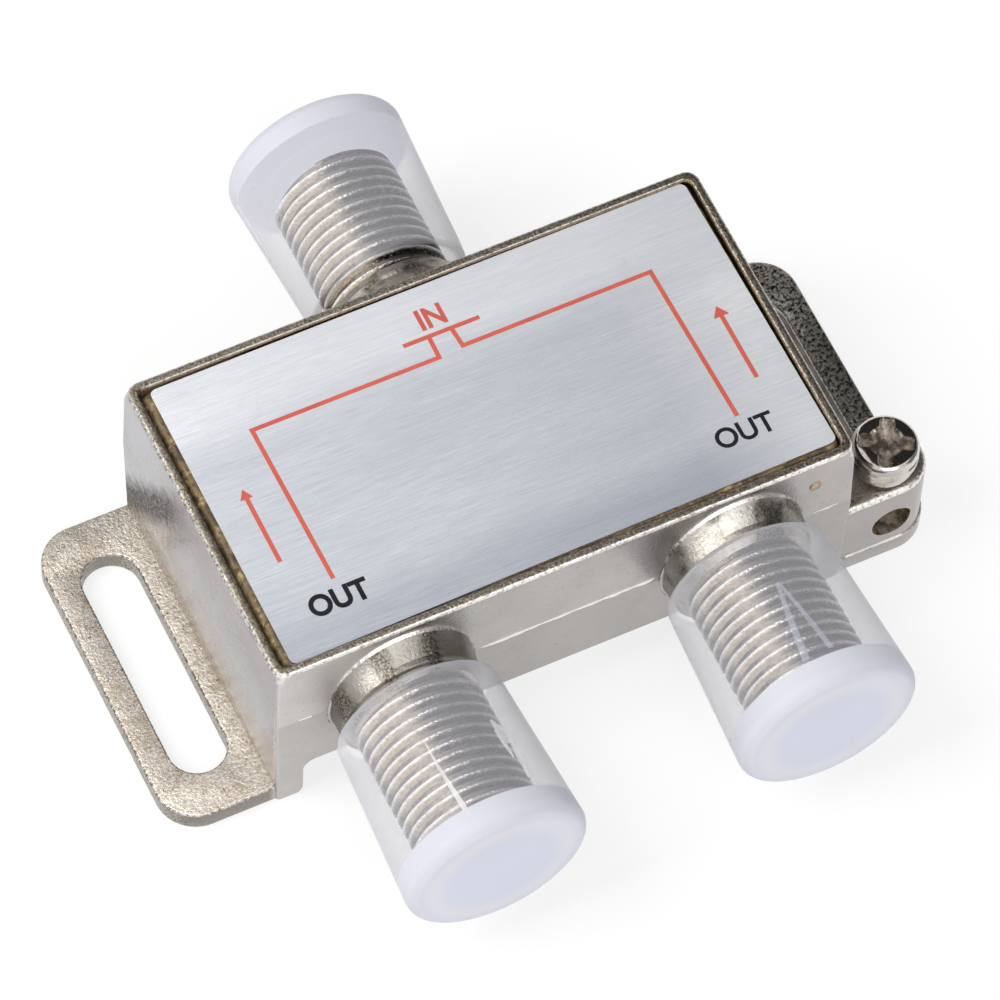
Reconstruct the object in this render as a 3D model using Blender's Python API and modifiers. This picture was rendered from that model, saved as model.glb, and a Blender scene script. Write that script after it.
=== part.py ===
"""A two-way coaxial splitter: a die-cast housing with three ports, two slotted ears and a ground block."""

import math

import bmesh
import bpy
from mathutils import Matrix, Vector

# Sizes in metres. The origin is on the mounting plane below the middle of the housing.
# The two outputs face -Y and the input faces +Y.
body_length = 0.0441
body_depth = 0.0256
body_height = 0.0173
body_corner = 0.0005
draft_run = 0.00015
arch_height = 0.0042
foot_width = 0.00205
foot_fillet = 0.0009
foot_round = 0.0008
wall = 0.0020
floor_thickness = 0.0015
rim_width = 0.00075
rim_round = 0.0002
cavity_corner = 0.0012

ear_width = 0.0077
ear_thickness = 0.0017
ear_corner = 0.0030
ear_step = 0.0002
slot_width = 0.0042
slot_length = 0.0188
slot_edge = 0.00205
slot_end_gap = 0.0015

block_depth = 0.0053
block_height = 0.0080
block_step = 0.00025
block_corner = 0.0006
ground_hole_radius = 0.00155
ground_hole_height = 0.00415
ground_hole_out = 0.00395

port_spacing = 0.0254
port_height = 0.01025
collar_radius = 0.00535
collar_root_radius = 0.0058
collar_root_fillet = 0.0005
collar_length = 0.0021
fairing_radius = 0.0059
fairing_rise = 0.0007
fairing_reach = 0.0012
barrel_radius = 0.0047
barrel_length = 0.0131
barrel_chamfer = 0.0004
thread_pitch = 0.00092
thread_root = 0.0043
neck_radius = 0.0043
neck_length = 0.0006
bore_radius = 0.0033
bore_shoulder = 0.0010
wall_hole_radius = 0.0022

fit = 0.0002
running_fit = 0.0003

plate_thickness = 0.0006
plate_sink = 0.0003
plate_gap_left = 0.0008
plate_gap_right = 0.00015
plate_gap_ends = 0.00015
plate_corner = 0.0005
bead_thickness = 0.0003
bead_width = 0.0010

board_thickness = 0.0010
board_height = 0.0082
board_ledge = 0.0012
board_edge_gap = 0.0006

insulator_recess = 0.0006
insulator_nose_out = 0.0003
insulator_face = 0.0012
pin_hole_radius = 0.00065
pin_hole_flare = 0.0003
contact_radius = 0.0010
contact_bore_radius = 0.00055
contact_slit = 0.0003
contact_slit_length = 0.0040
contact_tail_width = 0.0012
contact_tail_thickness = 0.0005
contact_tail_length = 0.0022

core_length = 0.0050
core_width = 0.0066
core_height = 0.0036
core_hole_radius = 0.0009
core_hole_spacing = 0.0030
core_gap = 0.0018
core_middle = 0.0008
wire_radius = 0.00018
wire_turns = 2

choke_radius = 0.0017
choke_waist_radius = 0.0012
choke_height = 0.0034
choke_flange = 0.0006
choke_offset = 0.0052
choke_inset = 0.0066

capacitor_length = 0.0030
capacitor_width = 0.0018
capacitor_height = 0.0012
capacitor_offset = 0.0050
capacitor_inset = 0.0030
resistor_radius = 0.0008
resistor_length = 0.0036
resistor_gap = 0.0005

cap_mouth_radius = 0.0061
cap_end_radius = 0.0068
cap_end_wall = 0.00225
cap_end_gap = 0.0003
cap_end_round = 0.0010
cap_mouth_flare = 0.0004
cap_mouth_flare_length = 0.0006
cap_lift = {"in": 0.0010, "out_left": 0.0004, "out_right": 0.0}

screw_offset = 0.00015
screw_head_radius = 0.00245
screw_head_height = 0.0029
screw_head_round = 0.0007
screw_head_lift = 0.00055
screw_shank_radius = 0.00125
screw_tip_reach = 0.0005
screw_tip_chamfer = 0.0004
recess_length = 0.0030
recess_width = 0.0007
recess_depth = 0.0013
recess_turn = 1.05

fine_steps = 32
coarse_steps = 28
round_steps = 4

half_length = body_length / 2
half_depth = body_depth / 2
ear_end = half_length + ear_width
foot_inner = half_length - foot_width
plate_top = body_height - plate_sink
plate_bottom = plate_top - plate_thickness
bead_bottom = plate_bottom - fit - bead_thickness
ledge_height = bead_bottom - fit
rim_inner_length = half_length - rim_width
rim_inner_depth = half_depth - rim_width
cavity_length = half_length - wall
cavity_depth = half_depth - wall
cavity_floor = arch_height + floor_thickness
board_top = board_height + board_thickness
board_edge = cavity_depth - board_edge_gap
shoulder = cavity_depth + bore_shoulder
slot_centre = ear_end - slot_edge - slot_width / 2
block_back = -half_depth + block_depth
ground_hole_x = half_length + ground_hole_out
screw_x = ground_hole_x + screw_offset
screw_y = -half_depth + block_depth / 2
winding_reach = core_length / 2 + wire_radius + 2 * fit
cap_floor = barrel_length - collar_length - fit + cap_end_gap
cap_length = cap_floor + cap_end_wall
over = 0.002
hair = 0.00001

# Each port's name, the place of its axis along X, and the way that it points along Y.
ports = {
    "in": (0.0, 1),
    "out_left": (-port_spacing / 2, -1),
    "out_right": (port_spacing / 2, -1),
}

for old in list(bpy.data.objects):
    bpy.data.objects.remove(old, do_unlink=True)

parts = bpy.data.collections.new("coaxial_splitter")
cutters = bpy.data.collections.new("cutters")
cutters.hide_render = True
bpy.context.scene.collection.children.link(parts)
bpy.context.scene.collection.children.link(cutters)


def material(name, colour, roughness, metallic=0.0, transmission=0.0):
    """A plain surface with the piece's own colour."""
    made = bpy.data.materials.new(name)
    made.use_nodes = True
    shader = made.node_tree.nodes["Principled BSDF"]
    shader.inputs["Base Color"].default_value = (*colour, 1.0)
    shader.inputs["Roughness"].default_value = roughness
    shader.inputs["Metallic"].default_value = metallic
    shader.inputs["Transmission Weight"].default_value = transmission
    made.diffuse_color = (*colour, 1.0)
    return made


nickel = material("cast_nickel", (0.62, 0.60, 0.58), 0.35, 1.0)
bright_nickel = material("bright_nickel", (0.68, 0.66, 0.64), 0.15, 1.0)
brushed_aluminium = material("brushed_aluminium", (0.70, 0.72, 0.76), 0.35, 1.0)
resin = material("brown_resin", (0.35, 0.24, 0.12), 0.5)
board_green = material("board_green", (0.05, 0.22, 0.09), 0.5)
white_plastic = material("white_plastic", (0.85, 0.85, 0.83), 0.45)
milky_plastic = material("milky_plastic", (0.78, 0.78, 0.86), 0.3, 0.0, 0.6)
brass = material("brass", (0.78, 0.60, 0.28), 0.3, 1.0)
ferrite = material("ferrite", (0.06, 0.06, 0.065), 0.6)
copper = material("copper", (0.72, 0.36, 0.20), 0.35, 1.0)
ceramic = material("ceramic", (0.62, 0.45, 0.28), 0.5)
resistor_blue = material("resistor_blue", (0.25, 0.45, 0.60), 0.4)


def add(name, mesh, surface=None):
    """Links a mesh as a piece, or as a hidden helper when it has no surface."""
    made = bpy.data.objects.new(name, mesh)
    if surface:
        mesh.materials.append(surface)
        parts.objects.link(made)
    else:
        made.hide_render = True
        made.display_type = "WIRE"
        cutters.objects.link(made)
    return made


def box_mesh(name, low, high):
    """A box between two opposite corners."""
    low = Vector(low)
    high = Vector(high)
    shape = bmesh.new()
    bmesh.ops.create_cube(shape, size=1.0)
    size = high - low
    place = Matrix.Translation((low + high) / 2) @ Matrix.Diagonal((*size, 1.0))
    bmesh.ops.transform(shape, matrix=place, verts=shape.verts)
    mesh = bpy.data.meshes.new(name)
    shape.to_mesh(mesh)
    shape.free()
    return mesh


def box(name, low, high, surface=None):
    return add(name, box_mesh(name, low, high), surface)


def corner_arc(before, corner, after, radius, steps):
    """The points of the arc that rounds one corner of an outline."""
    corner = Vector(corner)
    along_in = (Vector(before) - corner).normalized()
    along_out = (Vector(after) - corner).normalized()
    half = along_in.angle(along_out) / 2
    reach = radius / math.tan(half)
    centre = corner + (along_in + along_out).normalized() * radius / math.sin(half)
    start = corner + along_in * reach - centre
    turn = math.pi - 2 * half
    if along_in.cross(along_out) > 0:
        turn = -turn
    points = []
    for step in range(steps + 1):
        angle = turn * step / steps
        cos, sin = math.cos(angle), math.sin(angle)
        points.append(centre + Vector((start.x * cos - start.y * sin, start.x * sin + start.y * cos)))
    return points


def rounded(corners, steps=5):
    """An outline from corners given as (x, y, radius)."""
    points = []
    count = len(corners)
    for index, (x, y, radius) in enumerate(corners):
        before = corners[index - 1][:2]
        after = corners[(index + 1) % count][:2]
        if radius > 0:
            points += corner_arc(before, (x, y), after, radius, steps)
        else:
            points.append(Vector((x, y)))
    return points


def rectangle(left, right, low, high, radius):
    return [(left, low, radius), (right, low, radius), (right, high, radius), (left, high, radius)]


def extruded(name, outlines, thickness, place, surface=None):
    """A flat 2D curve made thick both ways, as a welded mesh placed by a matrix."""
    curve = bpy.data.curves.new(name, "CURVE")
    curve.dimensions = "2D"
    curve.fill_mode = "BOTH"
    curve.extrude = thickness / 2
    for points in outlines:
        spline = curve.splines.new("POLY")
        spline.points.add(len(points) - 1)
        for target, point in zip(spline.points, points):
            target.co = (point.x, point.y, 0.0, 1.0)
        spline.use_cyclic_u = True
    guide = bpy.data.objects.new(name + "_curve", curve)
    cutters.objects.link(guide)
    bpy.context.view_layer.update()
    graph = bpy.context.evaluated_depsgraph_get()
    mesh = bpy.data.meshes.new_from_object(guide.evaluated_get(graph))
    bpy.data.objects.remove(guide, do_unlink=True)
    mesh.name = name
    shape = bmesh.new()
    shape.from_mesh(mesh)
    bmesh.ops.remove_doubles(shape, verts=shape.verts, dist=1e-6)
    bmesh.ops.transform(shape, matrix=place, verts=shape.verts)
    bmesh.ops.recalc_face_normals(shape, faces=shape.faces)
    shape.to_mesh(mesh)
    shape.free()
    return add(name, mesh, surface)


def level(height):
    """Places an outline drawn in X and Y at this height."""
    return Matrix.Translation((0.0, 0.0, height))


def upright(y=0.0):
    """Places an outline drawn in X and Z, so that its thickness runs along Y."""
    return Matrix.Translation((0.0, y, 0.0)) @ Matrix.Rotation(math.pi / 2, 4, "X")


def port_frame(x, way):
    """The frame of a port: its Z runs out of the wall, from the middle plane of the housing."""
    return Matrix.Translation((x, 0.0, port_height)) @ Matrix.Rotation(-way * math.pi / 2, 4, "X")


def turned(name, profile, place, surface=None, steps=fine_steps, ring=False):
    """A turned shape from (radius, height) points that run down its outer side.

    A ring's outline closes on itself.
    """
    mesh = bpy.data.meshes.new(name)
    points = [(radius, 0.0, height) for radius, height in profile]
    edges = [(index, index + 1) for index in range(len(points) - 1)]
    if ring:
        edges.append((len(points) - 1, 0))
    mesh.from_pydata(points, edges, [])
    made = add(name, mesh, surface)
    made.matrix_world = place
    screw = made.modifiers.new("turn", "SCREW")
    screw.steps = steps
    screw.render_steps = steps
    screw.use_merge_vertices = True
    screw.merge_threshold = 1e-6
    screw.use_smooth_shade = True
    return made


def combine(target, other, operation):
    """One Boolean step with a helper object."""
    step = target.modifiers.new(other.name, "BOOLEAN")
    step.operation = operation
    step.solver = "EXACT"
    step.object = other


def cut(target, other):
    combine(target, other, "DIFFERENCE")


def fuse(target, other):
    combine(target, other, "UNION")


def make_body():
    """The housing's box: widest at the parting plane, with rounded corners and a softened rim."""
    mesh = box_mesh("housing", (-half_length, -half_depth, 0.0), (half_length, half_depth, body_height))
    shape = bmesh.new()
    shape.from_mesh(mesh)
    everything = shape.verts[:] + shape.edges[:] + shape.faces[:]
    bmesh.ops.bisect_plane(shape, geom=everything, plane_co=(0.0, 0.0, port_height), plane_no=(0.0, 0.0, 1.0))
    for vertex in shape.verts:
        if abs(vertex.co.z - port_height) < 1e-6:
            vertex.co.x += math.copysign(draft_run, vertex.co.x)
            vertex.co.y += math.copysign(draft_run, vertex.co.y)
    posts = [edge for edge in shape.edges if abs(edge.verts[0].co.z - edge.verts[1].co.z) > 1e-3]
    bmesh.ops.bevel(shape, geom=posts, offset=body_corner, segments=4, profile=0.5, affect="EDGES")
    rim = [edge for edge in shape.edges if min(v.co.z for v in edge.verts) > body_height - 1e-6]
    bmesh.ops.bevel(shape, geom=rim, offset=rim_round, segments=2, profile=0.5, affect="EDGES")
    shape.to_mesh(mesh)
    shape.free()
    return add("housing", mesh, nickel)


def add_ears(housing):
    """The two mounting ears, flush with the underside of the feet, with their slots."""
    side_y = half_depth - ear_step
    for name, side in (("left", -1), ("right", 1)):
        root = side * (half_length - wall / 2)
        end = side * ear_end
        corners = [
            (root, -side_y, 0.0),
            (end, -side_y, ear_corner),
            (end, side_y, ear_corner),
            (root, side_y, 0.0),
        ]
        ear = extruded(f"ear_{name}", [rounded(corners)], ear_thickness, level(ear_thickness / 2))
        fuse(housing, ear)
        slot_back = slot_length / 2
        slot_front = -slot_back
        if side > 0:
            slot_front = block_back + slot_end_gap
        left = side * slot_centre - slot_width / 2
        corners = rectangle(left, left + slot_width, slot_front, slot_back, slot_width / 2 - hair)
        slot = extruded(f"slot_{name}", [rounded(corners, 8)], ear_thickness + over, level(ear_thickness / 2))
        cut(housing, slot)


def add_ground_block(housing):
    """The block on the right ear that takes the ground wire and its clamp screw."""
    front = -half_depth + block_step
    end = ear_end - block_step
    root = half_length - wall / 2
    corner = ear_corner - block_step
    corners = [
        (root, front, 0.0),
        (end, front, corner),
        (end, block_back, block_corner),
        (root, block_back, 0.0),
    ]
    height = block_height - ear_thickness / 2
    block = extruded("ground_block", [rounded(corners)], height, level(ear_thickness / 2 + height / 2))
    fuse(housing, block)


def drill(name, radius, start, end, place, steps=coarse_steps):
    """A straight round cutter between two heights of its frame."""
    return turned(name, [(0.0, end), (radius, end), (radius, start), (0.0, start)], place, steps=steps)


def hollow_housing(housing):
    """The arch under the housing, the recess for the face plate, and the cavity with ledges for the board."""
    arch_out = foot_inner + foot_round
    corners = [
        (arch_out, -over, 0.0),
        (arch_out, 0.0, 0.0),
        (foot_inner, 0.0, foot_round - hair),
        (foot_inner, arch_height, foot_fillet),
        (-foot_inner, arch_height, foot_fillet),
        (-foot_inner, 0.0, foot_round - hair),
        (-arch_out, 0.0, 0.0),
        (-arch_out, -over, 0.0),
    ]
    cut(housing, extruded("arch", [rounded(corners)], body_depth + 2 * over, upright()))
    corners = rectangle(-rim_inner_length, rim_inner_length, -rim_inner_depth, rim_inner_depth, plate_corner)
    depth = body_height + over - ledge_height
    cut(housing, extruded("plate_recess", [rounded(corners)], depth, level(ledge_height + depth / 2)))
    corners = rectangle(-cavity_length, cavity_length, -cavity_depth, cavity_depth, cavity_corner)
    seat = board_height - fit
    depth = body_height - seat
    cut(housing, extruded("upper_cavity", [rounded(corners)], depth, level(seat + depth / 2)))
    inner = cavity_length - board_ledge
    corners = rectangle(-inner, inner, -cavity_depth, cavity_depth, cavity_corner)
    depth = body_height - cavity_floor
    cut(housing, extruded("lower_cavity", [rounded(corners)], depth, level(cavity_floor + depth / 2)))


def thread_outline(first, last):
    """The crests and grooves that stand for the barrel's thread, between two heights."""
    points = [(barrel_radius, first)]
    for turn in range(1, int((first - last) / thread_pitch) + 1):
        crest = first - turn * thread_pitch
        points += [(thread_root, crest + thread_pitch / 2), (barrel_radius, crest)]
    return points


def add_ports(housing):
    """The collars and barrels, and a low fairing from each collar up to the rim."""
    inside = half_depth - wall / 2
    for name, (x, way) in ports.items():
        place = port_frame(x, way)
        fillet = []
        for step in range(round_steps + 1):
            angle = math.pi / 2 * step / round_steps
            across = collar_radius + collar_root_fillet * (1 - math.sin(angle))
            fillet.append((across, half_depth + collar_root_fillet * (1 - math.cos(angle))))
        tip = half_depth + barrel_length
        collar_end = half_depth + collar_length
        neck_end = collar_end + neck_length
        profile = [(0.0, tip), (barrel_radius - barrel_chamfer, tip)]
        profile += thread_outline(tip - barrel_chamfer, neck_end)
        profile += [(neck_radius, neck_end), (neck_radius, collar_end)]
        profile += [(collar_radius - rim_round, collar_end)]
        profile += [(collar_radius, collar_end - rim_round)]
        profile += fillet[::-1]
        profile += [(collar_root_radius, inside), (0.0, inside)]
        fuse(housing, turned(f"port_{name}", profile, place))
        raised = Matrix.Translation((0.0, 0.0, fairing_rise)) @ place
        far = half_depth + fairing_reach
        profile = [(0.0, far), (collar_radius - fairing_rise - hair, far), (fairing_radius, half_depth)]
        profile += [(fairing_radius, inside), (0.0, inside)]
        fuse(housing, turned(f"fairing_{name}", profile, raised))


def bore_ports(housing):
    """The bore of each barrel, and the smaller hole where it passes into the cavity."""
    for name, (x, way) in ports.items():
        place = port_frame(x, way)
        mouth = half_depth + barrel_length + over
        cut(housing, drill(f"bore_{name}", bore_radius, shoulder, mouth, place, 36))
        inside = cavity_depth - over
        cut(housing, drill(f"wall_hole_{name}", wall_hole_radius, inside, shoulder + over, place))


def drill_ground_block(housing):
    """The hole for the ground wire, and the screw's hole that meets it from above."""
    centre = Matrix.Translation((ground_hole_x, 0.0, ground_hole_height))
    along_y = centre @ Matrix.Rotation(math.pi / 2, 4, "X")
    front = half_depth + over
    cut(housing, drill("ground_hole", ground_hole_radius, -block_back - over, front, along_y))
    down = Matrix.Translation((screw_x, screw_y, 0.0))
    hole = screw_shank_radius + running_fit
    cut(housing, drill("screw_hole", hole, ground_hole_height, block_height + over, down))


def make_housing():
    housing = make_body()
    add_ears(housing)
    add_ground_block(housing)
    add_ports(housing)
    hollow_housing(housing)
    bore_ports(housing)
    drill_ground_block(housing)
    # The leaning walls leave faces that aren't quite flat, which this solver joins cleanly.
    for step in housing.modifiers:
        step.solver = "MANIFOLD"


def make_face():
    """The printed face plate, set to the right in its recess, and the bead of resin that it sits in."""
    left = -rim_inner_length + plate_gap_left
    right = rim_inner_length - plate_gap_right
    side = rim_inner_depth - plate_gap_ends
    outline = rounded(rectangle(left, right, -side, side, plate_corner))
    place = level(plate_bottom + plate_thickness / 2)
    extruded("face_plate", [outline], plate_thickness, place, brushed_aluminium)
    outer_x = rim_inner_length - fit
    outer_y = rim_inner_depth - fit
    inner_x = outer_x - bead_width
    inner_y = outer_y - bead_width
    outer = rounded(rectangle(-outer_x, outer_x, -outer_y, outer_y, plate_corner))
    inner = rounded(rectangle(-inner_x, inner_x, -inner_y, inner_y, plate_corner))
    extruded("seal_bead", [outer, inner], bead_thickness, level(bead_bottom + bead_thickness / 2), resin)


def make_board():
    length = cavity_length - fit
    corners = rectangle(-length, length, -board_edge, board_edge, cavity_corner)
    place = level(board_height + board_thickness / 2)
    extruded("circuit_board", [rounded(corners)], board_thickness, place, board_green)


def make_insulator(name, place):
    """A sleeve that fills the barrel's bore, with a nose through the wall and a pin hole in its face."""
    face = half_depth + barrel_length - insulator_recess
    back = cavity_depth - insulator_nose_out
    outer = bore_radius - fit
    nose = wall_hole_radius - fit
    inner = contact_radius + fit
    profile = [
        (outer - pin_hole_flare, face),
        (outer, face - pin_hole_flare),
        (outer, shoulder + fit),
        (nose, shoulder + fit),
        (nose, back),
        (inner, back),
        (inner, face - insulator_face),
        (pin_hole_radius, face - insulator_face),
        (pin_hole_radius, face - pin_hole_flare),
        (pin_hole_radius + pin_hole_flare, face),
    ]
    turned(f"insulator_{name}", profile, place, white_plastic, coarse_steps, ring=True)


def make_contact(name, x, way, place):
    """A split brass socket with a flat tail that lies over the board."""
    tip = half_depth + barrel_length - insulator_recess - insulator_face - fit
    back = board_edge + fit
    profile = [(contact_radius, tip), (contact_radius, back)]
    profile += [(contact_bore_radius, back), (contact_bore_radius, tip)]
    contact = turned(f"contact_{name}", profile, place, brass, 20, ring=True)
    slit_low = (x - 2 * contact_radius, way * (tip - contact_slit_length), port_height - contact_slit / 2)
    slit_high = (x + 2 * contact_radius, way * (tip + over), port_height + contact_slit / 2)
    low = [min(a, b) for a, b in zip(slit_low, slit_high)]
    high = [max(a, b) for a, b in zip(slit_low, slit_high)]
    cut(contact, box(f"slit_{name}", low, high))
    tail_base = board_top + fit
    tail_low = (x - contact_tail_width / 2, way * (back - contact_tail_length), tail_base)
    tail_high = (x + contact_tail_width / 2, way * (back + over), tail_base + contact_tail_thickness)
    low = [min(a, b) for a, b in zip(tail_low, tail_high)]
    high = [max(a, b) for a, b in zip(tail_low, tail_high)]
    fuse(contact, box(f"tail_{name}", low, high))


def make_core(name, y):
    """A two-hole ferrite core that lies on the board, with its holes along Y."""
    low = board_top + fit
    middle = low + core_height / 2
    corners = rectangle(-core_width / 2, core_width / 2, low, low + core_height, core_height / 2 - hair)
    holes = []
    for side in (-1, 1):
        left = side * core_hole_spacing / 2 - core_hole_radius
        right = left + 2 * core_hole_radius
        round_corner = core_hole_radius - hair
        low_edge = middle - core_hole_radius
        high_edge = middle + core_hole_radius
        holes.append(rounded(rectangle(left, right, low_edge, high_edge, round_corner), 4))
    extruded(f"{name}_core", [rounded(corners, 6)] + holes, core_length, upright(y), ferrite)
    return middle


def make_winding(name, y, middle):
    """Loops of wire through both holes of a core, rising a little with each turn."""
    across = core_hole_spacing / 2
    lane = 2 * wire_radius + fit
    points = []
    for turn in range(wire_turns):
        rise = lane / 4
        height = middle + (turn - wire_turns / 2) * lane + rise / 2
        shift = turn * fit
        points.append((-across - shift, y - winding_reach, height))
        points.append((-across - shift, y + winding_reach, height + rise))
        points.append((across + shift, y + winding_reach, height + 2 * rise))
        points.append((across + shift, y - winding_reach, height + 3 * rise))
    curve = bpy.data.curves.new(f"{name}_winding", "CURVE")
    curve.dimensions = "3D"
    curve.bevel_depth = wire_radius
    curve.bevel_resolution = 1
    curve.use_fill_caps = True
    spline = curve.splines.new("POLY")
    spline.points.add(len(points) - 1)
    for target, point in zip(spline.points, points):
        target.co = (*point, 1.0)
    curve.materials.append(copper)
    parts.objects.link(bpy.data.objects.new(f"{name}_winding", curve))


def make_choke(name, x, y):
    """A drum choke that stands on the board."""
    low = board_top + fit
    top = low + choke_height
    profile = [
        (0.0, top),
        (choke_radius, top),
        (choke_radius, top - choke_flange),
        (choke_waist_radius, top - choke_flange),
        (choke_waist_radius, low + choke_flange),
        (choke_radius, low + choke_flange),
        (choke_radius, low),
        (0.0, low),
    ]
    turned(f"choke_{name}", profile, Matrix.Translation((x, y, 0.0)), ferrite, 20)


def make_capacitor(name, x, y):
    low = board_top + fit
    half = (capacitor_width / 2, capacitor_length / 2)
    made = box(
        f"capacitor_{name}",
        (x - half[0], y - half[1], low),
        (x + half[0], y + half[1], low + capacitor_height),
        ceramic,
    )
    soft = made.modifiers.new("soft_edges", "BEVEL")
    soft.width = fit
    soft.segments = 1


def make_resistor(core_y):
    """The isolation resistor that lies in front of the splitting core."""
    centre = board_top + fit + resistor_radius
    y = core_y - winding_reach - wire_radius - resistor_gap - resistor_radius
    place = Matrix.Translation((0.0, y, centre)) @ Matrix.Rotation(math.pi / 2, 4, "Y")
    half = resistor_length / 2
    end = resistor_radius / 3
    profile = [(0.0, half), (resistor_radius - end, half), (resistor_radius, half - end)]
    profile += [(resistor_radius, end - half), (resistor_radius - end, -half), (0.0, -half)]
    turned("isolation_resistor", profile, place, resistor_blue, 16)


def make_electronics():
    """What stands on the board: two wound cores, a resistor, and a choke and a capacitor for each port."""
    from_middle = (core_gap + core_length) / 2
    for name, y in (("matching", core_middle + from_middle), ("splitting", core_middle - from_middle)):
        middle = make_core(name, y)
        make_winding(name, y, middle)
    for name, (x, way) in ports.items():
        inward = 1 if x < 0 else -1
        make_choke(name, x + inward * choke_offset, way * (board_edge - choke_inset))
        make_capacitor(name, x + inward * capacitor_offset, way * (board_edge - capacitor_inset))
    make_resistor(core_middle - from_middle)


def make_cap(name, x, way):
    """A dust cap pushed over the barrel; its origin is on the port's axis, at its mouth."""
    mouth = half_depth + collar_length + fit + cap_lift[name]
    inner = barrel_radius + running_fit
    profile = []
    centre_radius = cap_end_radius - cap_end_round
    centre_height = cap_length - cap_end_round
    profile.append((0.0, cap_length))
    for step in range(round_steps + 1):
        angle = math.pi / 2 * (1 - step / round_steps)
        across = centre_radius + cap_end_round * math.cos(angle)
        profile.append((across, centre_height + cap_end_round * math.sin(angle)))
    profile += [(cap_mouth_radius, 0.0), (inner + cap_mouth_flare, 0.0), (inner, cap_mouth_flare_length)]
    profile += [(inner, cap_floor), (0.0, cap_floor)]
    place = port_frame(x, way) @ Matrix.Translation((0.0, 0.0, mouth))
    turned(f"dust_cap_{name}", profile, place, milky_plastic)


def make_screw():
    """The ground clamp screw, turned partly out of its block; its origin is on its axis, under the head."""
    seat = block_height + screw_head_lift
    tip = ground_hole_height + ground_hole_radius - screw_tip_reach - seat
    profile = [(0.0, screw_head_height)]
    centre_radius = screw_head_radius - screw_head_round
    centre_height = screw_head_height - screw_head_round
    for step in range(round_steps + 1):
        angle = math.pi / 2 * (1 - step / round_steps)
        across = centre_radius + screw_head_round * math.cos(angle)
        profile.append((across, centre_height + screw_head_round * math.sin(angle)))
    profile += [(screw_head_radius, 0.0), (screw_shank_radius, 0.0)]
    profile += [(screw_shank_radius, tip + screw_tip_chamfer)]
    profile += [(screw_shank_radius - screw_tip_chamfer, tip), (0.0, tip)]
    place = Matrix.Translation((screw_x, screw_y, seat))
    screw = turned("ground_screw", profile, place, bright_nickel, 32)
    floor = seat + screw_head_height - recess_depth
    top = seat + screw_head_height + over
    for name, turn in (("recess_a", recess_turn), ("recess_b", recess_turn + math.pi / 2)):
        arm = box(
            name,
            (-recess_length / 2, -recess_width / 2, floor),
            (recess_length / 2, recess_width / 2, top),
        )
        arm.matrix_world = Matrix.Translation((screw_x, screw_y, 0.0)) @ Matrix.Rotation(turn, 4, "Z")
        cut(screw, arm)


make_housing()
make_face()
make_board()
make_electronics()
for port_name, (port_x, port_way) in ports.items():
    frame = port_frame(port_x, port_way)
    make_insulator(port_name, frame)
    make_contact(port_name, port_x, port_way, frame)
    make_cap(port_name, port_x, port_way)
make_screw()

for piece in parts.objects:
    if piece.type == "MESH":
        piece.data.shade_smooth()
        piece.data.set_sharp_from_angle(angle=math.radians(30))
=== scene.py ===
import math

import bmesh
import bpy
from mathutils import Matrix, Quaternion, Vector, noise


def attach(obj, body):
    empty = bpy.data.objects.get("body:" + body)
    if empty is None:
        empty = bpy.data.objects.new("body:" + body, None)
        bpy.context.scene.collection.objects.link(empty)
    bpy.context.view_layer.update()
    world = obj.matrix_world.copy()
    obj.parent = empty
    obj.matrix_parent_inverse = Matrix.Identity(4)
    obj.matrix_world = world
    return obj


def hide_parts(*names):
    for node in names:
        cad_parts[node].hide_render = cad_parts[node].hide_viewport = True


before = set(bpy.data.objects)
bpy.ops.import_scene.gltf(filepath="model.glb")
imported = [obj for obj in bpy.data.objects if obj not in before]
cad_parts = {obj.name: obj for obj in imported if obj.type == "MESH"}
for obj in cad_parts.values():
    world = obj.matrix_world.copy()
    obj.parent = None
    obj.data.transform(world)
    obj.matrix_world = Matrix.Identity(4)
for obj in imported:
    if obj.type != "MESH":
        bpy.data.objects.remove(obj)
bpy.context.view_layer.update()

# Sizes in metres, in the frame of the CAD model.
mm = 0.001
half_length, half_depth, body_height = 22.05 * mm, 12.8 * mm, 17.3 * mm
draft_run = 0.15 * mm
wall_corner, rim_corner = 0.4 * mm, 1.0 * mm
arch_height, foot_inner = 4.2 * mm, 20.0 * mm
port_height, half_spacing = 10.25 * mm, 12.7 * mm
recess_x, recess_y, recess_corner = 21.3 * mm, 12.05 * mm, 0.6 * mm
cavity_x, cavity_y, cavity_corner = 20.05 * mm, 10.8 * mm, 1.2 * mm
ledge_height, shelf_height, shelf_x, cavity_floor = 15.7 * mm, 8.0 * mm, 18.85 * mm, 5.7 * mm
plate_top, plate_bottom, print_rise = 17.0 * mm, 16.4 * mm, 0.012 * mm
ear_root, ear_end, ear_side, ear_thickness = 20.9 * mm, 29.75 * mm, 12.6 * mm, 1.7 * mm
collar_radius, collar_length = 5.35 * mm, 2.1 * mm
thread_crest, thread_root, thread_pitch = 4.7 * mm, 4.27 * mm, 0.92 * mm
thread_start, barrel_length = 2.7 * mm, 13.1 * mm
slot_near, slot_far, slot_back, right_slot_front = 23.5 * mm, 27.7 * mm, 9.4 * mm, -6.0 * mm
hole_x, hole_z, hole_radius = 26.0 * mm, 4.15 * mm, 1.55 * mm
screw_x, screw_y, screw_seat, screw_head = 26.15 * mm, -10.15 * mm, 8.55 * mm, 2.9 * mm
cap_end, hollow_end, hollow_radius = 13.35 * mm, 11.1 * mm, 5.0 * mm

ports = {"in": (0.0, 1), "out_left": (-half_spacing, -1), "out_right": (half_spacing, -1)}


# Shaping helpers.


def port_frame(x, way):
    """A port's own frame: Z runs out of the wall from the housing's middle plane."""
    return Matrix.Translation((x, 0.0, port_height)) @ Matrix.Rotation(-way * math.pi / 2, 4, "X")


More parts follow.
